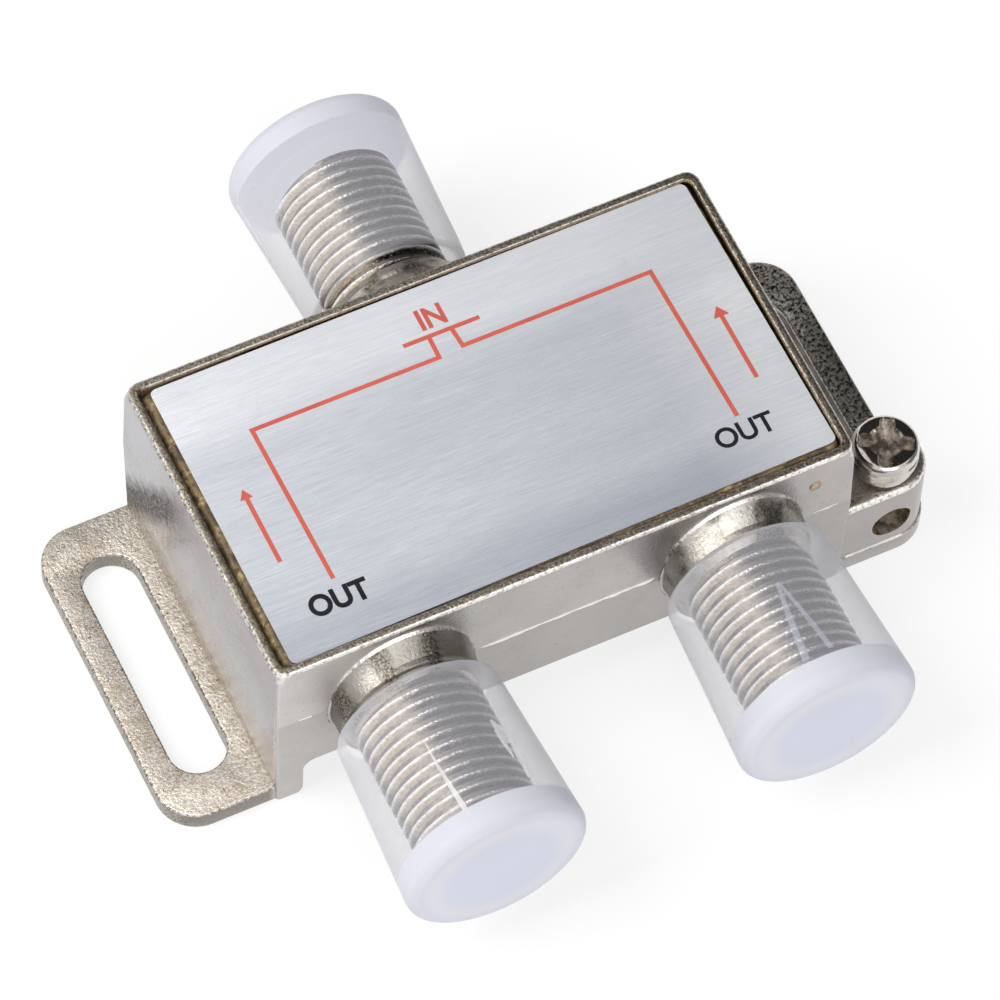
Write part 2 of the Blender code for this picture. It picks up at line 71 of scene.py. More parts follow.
def add_object(name, data):
    made = bpy.data.objects.new(name, data)
    bpy.context.scene.collection.objects.link(made)
    return made


def smooth_again(made, angle=35.0):
    made.data.shade_smooth()
    made.data.set_sharp_from_angle(angle=math.radians(angle))
    return made


def object_from(shape, name, smooth=35.0, place=None):
    """Turns a bmesh into an object with outward faces and smooth shading up to an angle."""
    if place:
        bmesh.ops.transform(shape, matrix=place, verts=shape.verts)
    bmesh.ops.remove_doubles(shape, verts=shape.verts, dist=1e-7)
    bmesh.ops.recalc_face_normals(shape, faces=shape.faces)
    mesh = bpy.data.meshes.new(name)
    shape.to_mesh(mesh)
    shape.free()
    return smooth_again(add_object(name, mesh), smooth)


def mesh_of(made):
    """The object's final mesh in the frame's own coordinates; the object itself goes."""
    bpy.context.view_layer.update()
    graph = bpy.context.evaluated_depsgraph_get()
    mesh = bpy.data.meshes.new_from_object(made.evaluated_get(graph))
    mesh.transform(made.matrix_world)
    bpy.data.objects.remove(made, do_unlink=True)
    return mesh


def baked(made):
    """The object with its modifiers applied and its place moved into its mesh."""
    name = made.name
    return add_object(name, mesh_of(made))


def finish_piece(made, surface, body, slot, *nodes):
    """Gives a piece its finish and its body, and hides the CAD nodes it stands for; the slot is not used."""
    made.data.materials.clear()
    made.data.materials.append(surface)
    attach(made, body)
    if nodes:
        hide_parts(*nodes)
    return made


def ring(half_x, half_y, corner, z, steps=8):
    """The points of a rounded rectangle at one height."""
    points = []
    for turn, (sx, sy) in enumerate(((1, 1), (-1, 1), (-1, -1), (1, -1))):
        for step in range(steps + 1):
            angle = math.pi / 2 * (turn + step / steps)
            x = sx * (half_x - corner) + corner * math.cos(angle)
            y = sy * (half_y - corner) + corner * math.sin(angle)
            points.append(Vector((x, y, z)))
    return points


def lofted(name, rings, smooth=35.0, loop=False, place=None):
    """A skin over rings of equal count, closed flat at both ends unless it loops."""
    shape = bmesh.new()
    rows = [[shape.verts.new(point) for point in points] for points in rings]
    pairs = list(zip(rows, rows[1:]))
    if loop:
        pairs.append((rows[-1], rows[0]))
    count = len(rows[0])
    for below, above in pairs:
        for index in range(count):
            after = (index + 1) % count
            shape.faces.new((below[index], below[after], above[after], above[index]))
    if not loop:
        shape.faces.new(rows[0][::-1])
        shape.faces.new(rows[-1])
    return object_from(shape, name, smooth, place)


def turned(name, profile, place, steps=96, smooth=35.0):
    """A turned solid from (radius, height) points; a profile point at radius 0 is a pole."""
    shape = bmesh.new()
    rows = []
    for radius, height in profile:
        if radius < 1e-9:
            rows.append([shape.verts.new((0.0, 0.0, height))])
        else:
            rows.append([
                shape.verts.new((radius * math.cos(a), radius * math.sin(a), height))
                for a in (2 * math.pi * step / steps for step in range(steps))
            ])
    for lower, upper in zip(rows, rows[1:]):
        for index in range(steps):
            after = (index + 1) % steps
            corners = [lower[index % len(lower)], lower[after % len(lower)]]
            corners += [upper[after % len(upper)], upper[index % len(upper)]]
            corners = list(dict.fromkeys(corners))
            if len(corners) > 2:
                shape.faces.new(corners)
    return object_from(shape, name, smooth, place)


def arc(centre_r, centre_h, radius, start, end, steps):
    """Profile points along an arc, in degrees."""
    points = []
    for step in range(steps + 1):
        angle = math.radians(start + (end - start) * step / steps)
        points.append((centre_r + radius * math.cos(angle), centre_h + radius * math.sin(angle)))
    return points


def outline(corners, steps=8):
    """A closed outline from (x, y, radius) corners."""
    points = []
    count = len(corners)
    for index, (x, y, radius) in enumerate(corners):
        corner = Vector((x, y))
        if radius <= 0:
            points.append(corner)
            continue
        into = (Vector(corners[index - 1][:2]) - corner).normalized()
        away = (Vector(corners[(index + 1) % count][:2]) - corner).normalized()
        half = into.angle(away) / 2
        reach = radius / math.tan(half)
        centre = corner + (into + away).normalized() * radius / math.sin(half)
        start = corner + into * reach - centre
        turn = math.pi - 2 * half
        if into.cross(away) > 0:
            turn = -turn
        for step in range(steps + 1):
            angle = turn * step / steps
            cos, sin = math.cos(angle), math.sin(angle)
            points.append(centre + Vector((start.x * cos - start.y * sin, start.x * sin + start.y * cos)))
    return points


def plate_from(name, outlines, low, high, soft=0.0, place=None):
    """A flat plate with softened edges from 2D outlines; the outlines after the first are holes."""
    curve = bpy.data.curves.new(name, "CURVE")
    curve.dimensions = "2D"
    curve.fill_mode = "BOTH"
    curve.extrude = (high - low) / 2 - soft
    curve.bevel_depth = soft
    curve.bevel_resolution = 2
    curve.offset = -soft
    for points in outlines:
        spline = curve.splines.new("POLY")
        spline.points.add(len(points) - 1)
        for target, point in zip(spline.points, points):
            target.co = (point.x, point.y, 0.0, 1.0)
        spline.use_cyclic_u = True
    shape = bmesh.new()
    shape.from_mesh(mesh_of(add_object(name + "_outline", curve)))
    middle = Matrix.Translation((0, 0, (low + high) / 2))
    bmesh.ops.transform(shape, matrix=(place or Matrix()) @ middle, verts=shape.verts)
    bmesh.ops.remove_doubles(shape, verts=shape.verts, dist=1e-6)
    return object_from(shape, name)


def merge(target, others, operation="UNION"):
    """Joins or cuts the target with each helper, then removes the helpers."""
    for other in others:
        step = target.modifiers.new(other.name, "BOOLEAN")
        step.operation = operation
        step.solver = "MANIFOLD"
        step.object = other
    result = baked(target)
    for other in others:
        bpy.data.objects.remove(other, do_unlink=True)
    return result


# Node helpers.


class Value:
    """An output in a node tree. Arithmetic on it adds Math nodes."""

    def __init__(self, socket):
        self.socket, self.tree = socket, socket.id_data

    def __add__(self, other):
        return calc("ADD", self, other)

    def __sub__(self, other):
        return calc("SUBTRACT", self, other)

    def __rsub__(self, other):
        return calc("SUBTRACT", other, self)

    def __mul__(self, other):
        return calc("MULTIPLY", self, other)

    def __truediv__(self, other):
        return calc("DIVIDE", self, other)

    def __pow__(self, other):
        return calc("POWER", self, other)

    def __abs__(self):
        return calc("ABSOLUTE", self)

    def ramp(self, low, high, to_low=0.0, to_high=1.0):
        """The value moved from low..high to another range and held inside it."""
        return output_of(self.tree, "ShaderNodeMapRange", enumerate((self, low, high, to_low, to_high)))

    def between(self, at_zero, at_one):
        return self.ramp(0.0, 1.0, at_zero, at_one)

    def noise(self, scale, detail=3.0, rough=0.5, distortion=0.0):
        inputs = {"Scale": scale, "Detail": detail, "Roughness": rough, "Distortion": distortion}
        return output_of(self.tree, "ShaderNodeTexNoise", {"Vector": self, **inputs}, "Fac")

    def stretch(self, scale):
        return output_of(self.tree, "ShaderNodeMapping", {"Vector": self, "Scale": scale})

    def parts(self):
        """The three parts of a vector."""
        return [Value(part) for part in add_node(self.tree, "ShaderNodeSeparateXYZ", {0: self}).outputs]


def add_node(tree, kind, inputs=(), **settings):
    """A new node with its settings made and its inputs linked or set."""
    node = tree.nodes.new(kind)
    for label, setting in settings.items():
        setattr(node, label, setting)
    feed(node, dict(inputs))
    return node


def output_of(tree, kind, inputs=(), output=0, **settings):
    return Value(add_node(tree, kind, inputs, **settings).outputs[output])


def feed(node, inputs):
    for label, source in inputs.items():
        socket = node.inputs[label]
        if isinstance(source, Value):
            source.tree.links.new(source.socket, socket)
        else:
            socket.default_value = (*source, 1.0) if socket.type == "RGBA" else source


def tree_of(*terms):
    return next(term.tree for term in terms if isinstance(term, Value))


def calc(operation, *terms):
    return output_of(tree_of(*terms), "ShaderNodeMath", enumerate(terms), operation=operation)


def most(first, *others):
    for other in others:
        first = calc("MAXIMUM", first, other)
    return first


def distance(a, b):
    return calc("SQRT", a * a + b * b)


def mix(factor, a, b, blend="MIX"):
    """Colour a turned towards colour b."""
    inputs = {0: factor, 6: a, 7: b}
    return output_of(tree_of(factor, a, b), "ShaderNodeMix", inputs, 2, data_type="RGBA", blend_type=blend)


def in_mm(spot):
    return [part / mm for part in spot.parts()]


def group_tree(name, inputs, outputs):
    """A shader group with named inputs and value outputs; an input without a value is a place."""
    tree = bpy.data.node_groups.new(name, "ShaderNodeTree")
    for label, value in inputs.items():
        kind = "NodeSocketVector" if value is None else "NodeSocketFloat"
        socket = tree.interface.new_socket(label, in_out="INPUT", socket_type=kind)
        if value is not None:
            socket.default_value = value
    for label in outputs:
        tree.interface.new_socket(label, in_out="OUTPUT", socket_type="NodeSocketFloat")
    given = tree.nodes.new("NodeGroupInput").outputs
    return {label: Value(given[label]) for label in inputs}, tree.nodes.new("NodeGroupOutput")


def make_cast_grain():
    """Sand-like grain, dark specks and slow mottling of a plated casting."""
    inputs = {"Place": None, "Grain Scale": 4200.0, "Speck Scale": 2600.0, "Speck Cut": 0.66}
    given, out = group_tree("cast grain", inputs, ["Height", "Specks", "Mottle"])
    place, cut = given["Place"], given["Speck Cut"]
    feed(out, {
        "Height": place.noise(given["Grain Scale"], 3.0, 0.6) * 0.7 + place.noise(900.0, 3.0, 0.55) * 0.5,
        "Specks": place.noise(given["Speck Scale"], 2.0, 0.7).ramp(cut, cut + 0.07),
        "Mottle": place.noise(260.0, 4.0, 0.6).ramp(0.3, 0.7),
    })
    return out.id_data


def make_brush_lines():
    """Fine lines along one direction, with a slow change of tone across them."""
    inputs = {"Place": None, "Fine": 13000.0, "Along": 260.0}
    given, out = group_tree("brush lines", inputs, ["Height", "Tone"])
    place, parts = given["Place"], {0: given["Along"], 1: given["Fine"], 2: 200.0}
    scale = output_of(place.tree, "ShaderNodeCombineXYZ", parts)
    feed(out, {
        "Height": place.stretch(scale).noise(1.0, 3.0, 0.65),
        "Tone": place.stretch((420.0, 6500.0, 100.0)).noise(1.0, 4.0, 0.6).ramp(0.3, 0.7),
    })
    return out.id_data


def make_scuffs():
    """Thin scattered scratches and rubbed patches."""
    given, out = group_tree("scuffs", {"Place": None, "Scale": 500.0, "Cut": 0.62}, ["Mask"])
    bent = given["Place"].noise(given["Scale"], 5.0, 0.7, 1.5)
    feed(out, {"Mask": bent.ramp(given["Cut"], given["Cut"] + 0.1)})
    return out.id_data


cast_grain = make_cast_grain()
brush_lines = make_brush_lines()
scuffs = make_scuffs()


def paint(shader, **sockets):
    """Sets or links the shader's sockets; an underscore stands for a space."""
    feed(shader, {label.replace("_", " "): source for label, source in sockets.items()})


def new_material(name, **sockets):
    """A material with its own Principled shader, and the place and the normal on the object."""
    made = bpy.data.materials.new(name + "_looks")
    made.use_nodes = True
    shader = made.node_tree.nodes["Principled BSDF"]
    paint(shader, **sockets)
    spot = made.node_tree.nodes.new("ShaderNodeTexCoord").outputs
    return made, shader, Value(spot["Object"]), Value(spot["Normal"])


def use(group, spot, **values):
    """Places a group in a material and gives its outputs by name."""
    made = add_node(spot.tree, "ShaderNodeGroup", node_tree=group)
    paint(made, Place=spot, **values)
    return {output.name: Value(output) for output in made.outputs}


def bump(shader, height, depth, strength=1.0):
    inputs = {"Height": height, "Distance": depth, "Strength": strength}
    feed(shader, {"Normal": output_of(height.tree, "ShaderNodeBump", inputs)})


def port_place(x, y, z):
    """Sideways and up from the axis of the nearest port, one at the back and two at the front, in mm."""
    in_front = x + (calc("GREATER_THAN", x, 0.0) * -2 + 1) * (half_spacing / mm)
    across = in_front + calc("GREATER_THAN", y, 0.0) * (x - in_front)
    return across, z - port_height / mm


def make_cast_nickel():
    made, shader, spot, normal = new_material("cast_nickel", Metallic=1.0, Roughness=0.34)
    grain = use(cast_grain, spot)
    mottle = grain["Mottle"]
    x, y, z = in_mm(spot)
    nx, ny, nz = normal.parts()
    wall_x, wall_y, top_z = half_length / mm, half_depth / mm, body_height / mm
    recess_side, recess_front = recess_x / mm, recess_y / mm
    from_middle = abs(y)
    across, up = port_place(x, y, z)
    from_axis = distance(across, up)
    sand = spot.noise(6200.0, 2.0, 0.6).ramp(0.36, 0.64)
    clumps = spot.noise(1100.0, 3.0, 0.6)

    # Walls: grey. Painted light makes them paler beside the left output, and painted shade makes the front
    # darker below the parting line. The left wall gets a cooler, darker painted tone for the light it faces.
    upward = nz.ramp(0.55, 0.95)
    tone = mix(mottle, (0.42, 0.40, 0.385), (0.48, 0.46, 0.445))
    tone = mix(x.ramp(-8.0, -14.0), tone, mix(mottle, (0.55, 0.525, 0.505), (0.63, 0.605, 0.585)))
    tone = mix(nx.ramp(-0.5, -0.9), tone, mix(mottle, (0.38, 0.37, 0.38), (0.44, 0.43, 0.45)))
    ear_edge = z.ramp(1.75, 1.6) * x.ramp(-22.0, -22.5) * nz.ramp(0.5, 0.2)
    tone = mix(ear_edge, tone, mix(sand, (0.13, 0.105, 0.08), (0.28, 0.24, 0.20)))
    # Painted shade on the front below the parting line.
    shaded_low_front = z.ramp(10.75, 10.6) * ny.ramp(-0.7, -0.9)
    tone = mix(shaded_low_front * 0.4, tone, (0.34, 0.32, 0.31))

    # Upward faces: sandy grain under a warm, light tone that is partly painted light. Painted shade darkens
    # the rim, and the right ear is painted nearly black between its grains.
    top = mix(clumps.ramp(0.42, 0.62), (0.46, 0.42, 0.37), (0.34, 0.285, 0.225))
    top = mix(sand, top, (0.64, 0.59, 0.53))
    stain = spot.noise(300.0, 4.0, 0.7).ramp(0.5, 0.62)
    top = mix(stain * 0.4, top, (0.33, 0.26, 0.18))
    # Painted shade on the rim's top.
    shaded_rim_top = z.ramp(top_z - 0.7, top_z - 0.4)
    top = mix(shaded_rim_top * 0.75, top, mix(sand, (0.07, 0.055, 0.038), (0.37, 0.32, 0.255)))
    tone = mix(upward, tone, top)
    # Painted shade: the right ear lies in the body's shadow, and is darker still in its middle.
    shaded_right_ear = x.ramp(21.7, 22.2) * z.ramp(3.2, 2.2) * upward
    dark_middle = abs(y - 1.0).ramp(7.5, 3.0) * 0.55
    coarse = spot.noise(3600.0, 3.0, 0.65).ramp(0.40, 0.57) * (1.0 - dark_middle)
    tone = mix(shaded_right_ear, tone, mix(coarse, (0.035, 0.031, 0.027), (1.0, 0.94, 0.86)))

    # The left wall: grains along its foot, higher towards the back, and a slanting dark smudge.
    left_wall = nx.ramp(-0.5, -0.8) * x.ramp(0.25 - wall_x, 0.05 - wall_x)
    above_ear = (z - ear_thickness / mm) / y.ramp(-wall_y, wall_y, 0.9, 4.2)
    foot = (above_ear + clumps * 0.5).ramp(1.25, 0.8) * left_wall
    tone = mix(foot * 0.9, tone, mix(sand, (0.15, 0.13, 0.11), (0.50, 0.46, 0.42)))
    smudge_middle = (wall_y - y) * 1.22 + 2.9
    smudge = (abs(z - smudge_middle) / 3.0 + clumps).ramp(1.6, 0.85)
    smudge = smudge * left_wall * sand.ramp(1.6, 0.4) * y.ramp(0.0, 5.0)
    tone = mix(smudge, tone, (0.035, 0.03, 0.027))

    # Rounded edges: painted glints broken by dark grains, and a painted highlight along the front edges.
    edge = nz.ramp(0.15, 0.4) * nz.ramp(0.98, 0.85)
    chips = spot.noise(3600.0, 2.0, 0.7)
    low = z.ramp(3.0, 2.0)
    painted_glint = edge * chips.ramp(0.5, 0.42) * low.between(0.7, 0.25)
    tone = mix(painted_glint, tone, (0.80, 0.77, 0.73))
    chipped = edge * (low * 0.09 + chips).ramp(0.56, 0.62)
    tone = mix(chipped * 0.85, tone, (0.07, 0.06, 0.045))
    front_edge_highlight = edge * ny.ramp(-0.25, -0.5) * z.ramp(2.0, 3.0, 0.3, 1.0)
    tone = mix(front_edge_highlight * 0.85, tone, mix(chips.ramp(0.5, 0.65), (0.92, 0.90, 0.87), (0.50, 0.46, 0.41)))
    tone = mix(grain["Specks"] * upward.between(0.3, 0.85), tone, (0.09, 0.075, 0.06))

    # Collars: patches of dark grains, three dark bands on the front left one, and a rusty line at the root.
    # Painted shade darkens the collars and the barrel under the thread.
    from_wall = from_middle - wall_y
    on_collar = from_axis.ramp(6.5, 6.4) * from_wall.ramp(0.2, 0.26) * from_wall.ramp(2.7, 2.6)
    # Painted shade: the collars are darker than the walls, and the front left one darker still.
    tone = mix(on_collar * 0.8, tone, mix(mottle, (0.28, 0.262, 0.23), (0.42, 0.395, 0.355)))
    shaded_front_left = on_collar * x.ramp(-5.0, -6.0) * y.ramp(-12.0, -12.5)
    tone = mix(shaded_front_left * 0.8, tone, mix(mottle, (0.19, 0.175, 0.15), (0.36, 0.34, 0.31)))
    grains_and_reflection_bands = on_collar * spot.noise(430.0, 2.0, 0.5).ramp(0.5, 0.6) * (1.0 - shaded_front_left)
    # The three bands lie at set angles round the axis beside the highlight: painted reflection, with grain
    # in it.
    for middle, half in ((-0.9, 0.13), (-0.33, 0.17), (0.3, 0.16)):
        off = abs(across / from_axis - middle) / half
        grains_and_reflection_bands = most(grains_and_reflection_bands, shaded_front_left * (off + clumps).ramp(1.45, 0.95))
    tone = mix(grains_and_reflection_bands * 0.9, tone, mix(sand, (0.03, 0.025, 0.018), (0.27, 0.245, 0.21)))
    root = abs(from_axis - 5.6).ramp(0.09, 0.03) * from_wall.ramp(0.3, 0.2)
    root = root * clumps.ramp(0.48, 0.56) * nz.ramp(0.75, 0.5)
    tone = mix(root * 0.7, tone, (0.26, 0.10, 0.06))
    # Painted shade on the barrel under the thread, in the grooves between its turns.
    groove = from_axis.ramp(4.45, 4.3) * from_wall.ramp(2.2, 2.5)
    tone = mix(groove * 0.75, tone, (0.12, 0.11, 0.105))

    # The recess's inner wall and the holes in the block: brown residue.
    inside = (abs(x) - recess_side).ramp(0.15, 0.05) * (from_middle - recess_front).ramp(0.15, 0.05)
    inside = inside * z.ramp(15.0, 15.6)
    tone = mix(inside * 0.85, tone, mix(sand, (0.04, 0.025, 0.012), (0.30, 0.19, 0.08)))
    in_hole = distance(x - hole_x / mm, z - hole_z / mm).ramp(1.62, 1.55) * x.ramp(23.0, 24.0)
    tone = mix(in_hole * 0.8, tone, mix(clumps.ramp(0.4, 0.6), (0.26, 0.19, 0.12), (1.0, 0.92, 0.78)))

    # Beside the left output the wall is matt; its lighter tone there is painted light.
    matt = x.ramp(-13.0, -16.0) * ny.ramp(-0.7, -0.9) * z.ramp(1.8, 2.2)
    dull = most(smudge, foot * sand.ramp(0.6, 0.2) * 0.5, matt * 0.45)
    worn = use(scuffs, spot, Scale=420.0, Cut=0.6)["Mask"]
    rough = upward.between(0.27, 0.40) + worn * 0.12 + on_collar * 0.05 + dull * 0.4
    paint(shader, Base_Color=tone, Metallic=dull.between(1.0, 0.15), Roughness=rough)
    sandy = most(upward, on_collar * 0.25, foot)
    bump(shader, grain["Height"] * sandy.between(0.3, 1.0), 0.10 * mm, 0.9)
    return made


def make_thread_nickel():
    made, shader, spot, _ = new_material("thread_nickel", Metallic=1.0, Roughness=0.24)
    grain = use(cast_grain, spot)
    mottle = grain["Mottle"]
    across, up = port_place(*in_mm(spot))
    from_axis = distance(across, up)
    tone = mix(mottle, (0.70, 0.66, 0.61), (0.95, 0.91, 0.86))
    # Painted light: the side turned to the upper left is painted light down into the grooves and made less
    # metallic. Painted shade darkens the other side and the grooves elsewhere.
    facing = (up * 0.66 - across * 0.75) / from_axis
    lit = facing.ramp(0.76, 0.93)
    tone = mix(lit, tone, (1.0, 0.95, 0.87))
    tone = mix(facing.ramp(0.80, 0.62), tone, mix(mottle, (0.40, 0.38, 0.37), (0.66, 0.63, 0.60)))
    groove = mix(lit, (0.02, 0.019, 0.02), (0.70, 0.61, 0.48))
    tone = mix(from_axis.ramp(4.69, 4.53), tone, groove)
    glitter = spot.noise(4600.0, 2.0, 0.6)
    tone = mix(glitter.ramp(0.5, 0.62, 0.0, 0.45), tone, (0.40, 0.36, 0.31))
    tone = mix(grain["Specks"] * 0.6, tone, (0.10, 0.09, 0.08))
    paint(shader, Base_Color=tone, Metallic=lit.between(1.0, 0.3), Roughness=mottle.between(0.3, 0.2))
    bump(shader, glitter, 0.18 * mm, 0.9)
    return made


def make_bright_nickel():
    made, shader, spot, _ = new_material("bright_nickel", Metallic=1.0, Roughness=0.12)
    worn = use(scuffs, spot, Scale=900.0, Cut=0.56)["Mask"]
    mottle = use(cast_grain, spot, Grain_Scale=2600.0, Speck_Cut=0.7)["Mottle"]
    tone = mix(mottle, (0.50, 0.46, 0.42), (0.74, 0.71, 0.68))
    tone = mix(worn * 0.5, tone, (0.20, 0.13, 0.09))
    # The cross in the screw's head is darker, with light streaks.
    x, y, z = in_mm(spot)
    from_axis = distance(x - screw_x / mm, y - screw_y / mm)
    below_top = (screw_seat + screw_head) / mm - z
    recess = from_axis.ramp(2.1, 1.95) * below_top.ramp(0.13, 0.33)
    streaks = spot.noise(1100.0, 3.0, 0.6).ramp(0.42, 0.6)
    tone = mix(recess * 0.85, tone, mix(streaks, (0.11, 0.08, 0.055), (0.82, 0.74, 0.65)))
    rough = recess * 0.25 + worn.between(0.1, 0.28)
    paint(shader, Base_Color=tone, Metallic=recess.between(1.0, 0.7), Roughness=rough)
    bump(shader, spot.noise(900.0, 2.0, 0.5), 0.08 * mm, 0.5)
    return made


def make_brushed_aluminium():
    made, shader, spot, normal = new_material("brushed_aluminium", Metallic=0.4, Roughness=0.36)
    lines = use(brush_lines, spot)
    worn = use(scuffs, spot, Scale=300.0, Cut=0.62)["Mask"]
    broad = spot.stretch((26.0, 120.0, 30.0)).noise(1.0, 3.0, 0.6)
    tone = mix(lines["Tone"], (0.68, 0.70, 0.74), (0.88, 0.89, 0.92))
    tone = mix(broad.ramp(0.4, 0.65, 0.0, 0.45), tone, (0.58, 0.61, 0.67))
    tone = mix(lines["Height"].ramp(0.35, 0.65), mix(0.14, tone, (0.3, 0.3, 0.32)), tone)
    tone = mix(worn * 0.2, tone, (0.5, 0.5, 0.52))
    # Painted light and shade: duller and bluer towards the front, bright along the back and at the right
    # end.
    x, y, _ = in_mm(spot)
    shade = mix(y.ramp(8.0, 4.0), (1.06, 1.06, 1.06), (0.78, 0.795, 0.825))
    shade = mix(y.ramp(-7.0, -10.5), shade, (0.60, 0.62, 0.66))
    shade = mix(x.ramp(19.5, 12.0), (1.0, 1.0, 1.0), shade)
    tone = mix(1.0, tone, shade, "MULTIPLY")
    # A painted highlight along the plate's rounded top edge.
    tone = mix(normal.parts()[2].ramp(0.97, 0.8), tone, (0.93, 0.93, 0.94))
    paint(shader, Base_Color=tone, Roughness=lines["Tone"].between(0.44, 0.32))
    bump(shader, lines["Height"], 0.03 * mm, 0.7)
    return made


def make_resin():
    made, shader, spot, _ = new_material("brown_resin", Roughness=0.5, Coat_Weight=0.08, IOR=1.5)
    grain = use(cast_grain, spot, Grain_Scale=2600.0, Speck_Scale=1500.0, Speck_Cut=0.54)
    tone = mix(grain["Mottle"], (0.21, 0.145, 0.065), (0.13, 0.09, 0.042))
    gold = spot.noise(1700.0, 3.0, 0.6).ramp(0.55, 0.66)
    tone = mix(gold * 0.7, tone, (0.50, 0.38, 0.18))
    dark = spot.noise(620.0, 3.0, 0.6).ramp(0.5, 0.6)
    for mask in (dark * 0.75, grain["Specks"] * 0.8):
        tone = mix(mask, tone, (0.05, 0.035, 0.018))
    # Painted shade low in the bead, down in the groove by the rim.
    tone = mix(in_mm(spot)[2].ramp(16.45, 16.3), tone, (0.05, 0.035, 0.02))
    paint(shader, Base_Color=tone, Roughness=grain["Mottle"].between(0.45, 0.6))
    bump(shader, grain["Height"], 0.16 * mm, 0.8)
    return made


def make_milky_plastic():
    """Thin milky walls that veil what is behind them, and a solid end that hides it."""
    made, shader, spot, _ = new_material(
        "milky_plastic", Roughness=0.45, IOR=1.45, Specular_IOR_Level=0.12, Emission_Strength=1.0
    )
    tree = made.node_tree
    worn = use(scuffs, spot, Scale=330.0, Cut=0.6)["Mask"]
    cloud = use(cast_grain, spot, Grain_Scale=1200.0)["Mottle"]
    height, radius = [
        output_of(tree, "ShaderNodeAttribute", output="Fac", attribute_name=name) / mm
        for name in ("cap_height", "cap_radius")
    ]
    from_hollow, from_end = height - hollow_end / mm, height - cap_end / mm
    solid = from_hollow.ramp(0.0, 0.15)
    tone = mix(cloud, (0.60, 0.60, 0.645), (0.64, 0.64, 0.685))
    tone = mix(solid, tone, (0.53, 0.54, 0.60))
    on_end = from_end.ramp(-0.25, -0.05)
    tone = mix(on_end, tone, (0.59, 0.60, 0.67))
    tone = mix(on_end * radius.ramp(5.9, 5.3), tone, (0.63, 0.635, 0.695))
    tone = mix(on_end * radius.ramp(4.9, 3.9), tone, (0.58, 0.60, 0.695))
    # The end lets light through; its inner face is painted lighter and given a painted glow.
    in_hollow = (radius - hollow_radius / mm).ramp(0.1, 0.0)
    inner_end = from_hollow.ramp(-0.5, -0.1) * from_hollow.ramp(0.1, 0.05) * in_hollow
    tone = mix(inner_end, tone, (0.85, 0.85, 0.88))
    glow = mix(inner_end, (0.0, 0.0, 0.0), (0.34, 0.34, 0.37))
    # The solid end, seen from inside through the clear wall, is kept as pale as from outside by a painted
    # glow.
    from_inside = solid * Value(tree.nodes.new("ShaderNodeNewGeometry").outputs["Backfacing"])
    tone = mix(from_inside, tone, (0.05, 0.05, 0.055))
    glow = mix(from_inside, glow, (0.49, 0.49, 0.565))
    turned_away = output_of(tree, "ShaderNodeLayerWeight", {"Blend": 0.5}, "Facing")
    veil = turned_away ** 1.8 * 0.55 + 0.24 + worn * 0.08
    inner_wall = radius.ramp(5.6, 5.2)
    veil = veil + inner_wall * (0.04 - veil)
    paint(shader, Base_Color=tone, Emission_Color=glow, Roughness=worn.between(0.42, 0.6))
    paint(shader, Alpha=most(veil, solid * 0.98))
    bump(shader, spot.noise(500.0, 2.0), 0.06 * mm, 0.35)
    return made


def make_cap_patch(name, tone, veil):
    """A denser, brighter patch on a cap, used for rubbed plastic and for painted highlights."""
    made, shader, spot, _ = new_material(name, Roughness=0.3)
    wear = spot.stretch((900.0, 250.0, 900.0)).noise(1.0, 3.0, 0.6)
    paint(shader, Base_Color=mix(wear, tuple(0.85 * c for c in tone), tone))
    paint(shader, Alpha=wear.ramp(0.3, 0.6, 0.5 * veil, veil), Roughness=wear.ramp(0.3, 0.7, 0.25, 0.4))
    bump(shader, wear, 0.05 * mm, 0.5)
    return made


def make_flat(name, dark, light, roughness, metallic=0.0, deep=0.05 * mm, **more):
    """A finish with grain, mottled between two tones."""
    made, shader, spot, _ = new_material(name, Roughness=roughness, Metallic=metallic, **more)
    grain = use(cast_grain, spot, Grain_Scale=2200.0, Speck_Cut=0.68)
    tone = mix(grain["Mottle"], dark, light)
    tone = mix(grain["Specks"] * 0.3, tone, tuple(0.4 * c for c in dark))
    paint(shader, Base_Color=tone, Roughness=grain["Mottle"].between(1.2 * roughness, 0.85 * roughness))
    bump(shader, grain["Height"], deep, 0.6)
    return made


cast_nickel = make_cast_nickel()
thread_nickel = make_thread_nickel()
bright_nickel = make_bright_nickel()
brushed_aluminium = make_brushed_aluminium()
resin = make_resin()
milky_plastic = make_milky_plastic()
white_scuff_and_highlight = make_cap_patch("white_scuff_and_highlight", (0.88, 0.88, 0.90), 0.55)
blue_streak = make_cap_patch("blue_streak", (0.62, 0.65, 0.75), 0.3)
# The mould flash fins are painted near-white and matt as a painted highlight.
flash_painted_highlight = make_flat("flash_painted_highlight", (0.90, 0.87, 0.84), (1.0, 0.98, 0.95), 0.4, 0.2)
# The right slot's step is dark like the right ear: painted shade over grain.
shaded_step_metal = make_flat("shaded_step_metal", (0.12, 0.10, 0.075), (0.42, 0.38, 0.33), 0.4, 0.9, deep=0.1 * mm)
pit_metal = make_flat("pit_metal", (0.42, 0.30, 0.14), (0.55, 0.42, 0.22), 0.4, 0.8)
red_print = make_flat("red_print", (0.45, 0.075, 0.05), (0.54, 0.105, 0.07), 0.5, deep=0.01 * mm)
black_print = make_flat(
    "black_print", (0.006, 0.006, 0.007), (0.012, 0.012, 0.013), 0.6, deep=0.01 * mm, Specular_IOR_Level=0.2
)
white_plastic = make_flat("white_plastic", (0.80, 0.80, 0.78), (0.86, 0.86, 0.84), 0.4)
board_green = make_flat("board_green", (0.03, 0.16, 0.06), (0.05, 0.22, 0.09), 0.42, Coat_Weight=0.3)
brass = make_flat("brass", (0.70, 0.52, 0.22), (0.80, 0.63, 0.30), 0.28, 1.0)
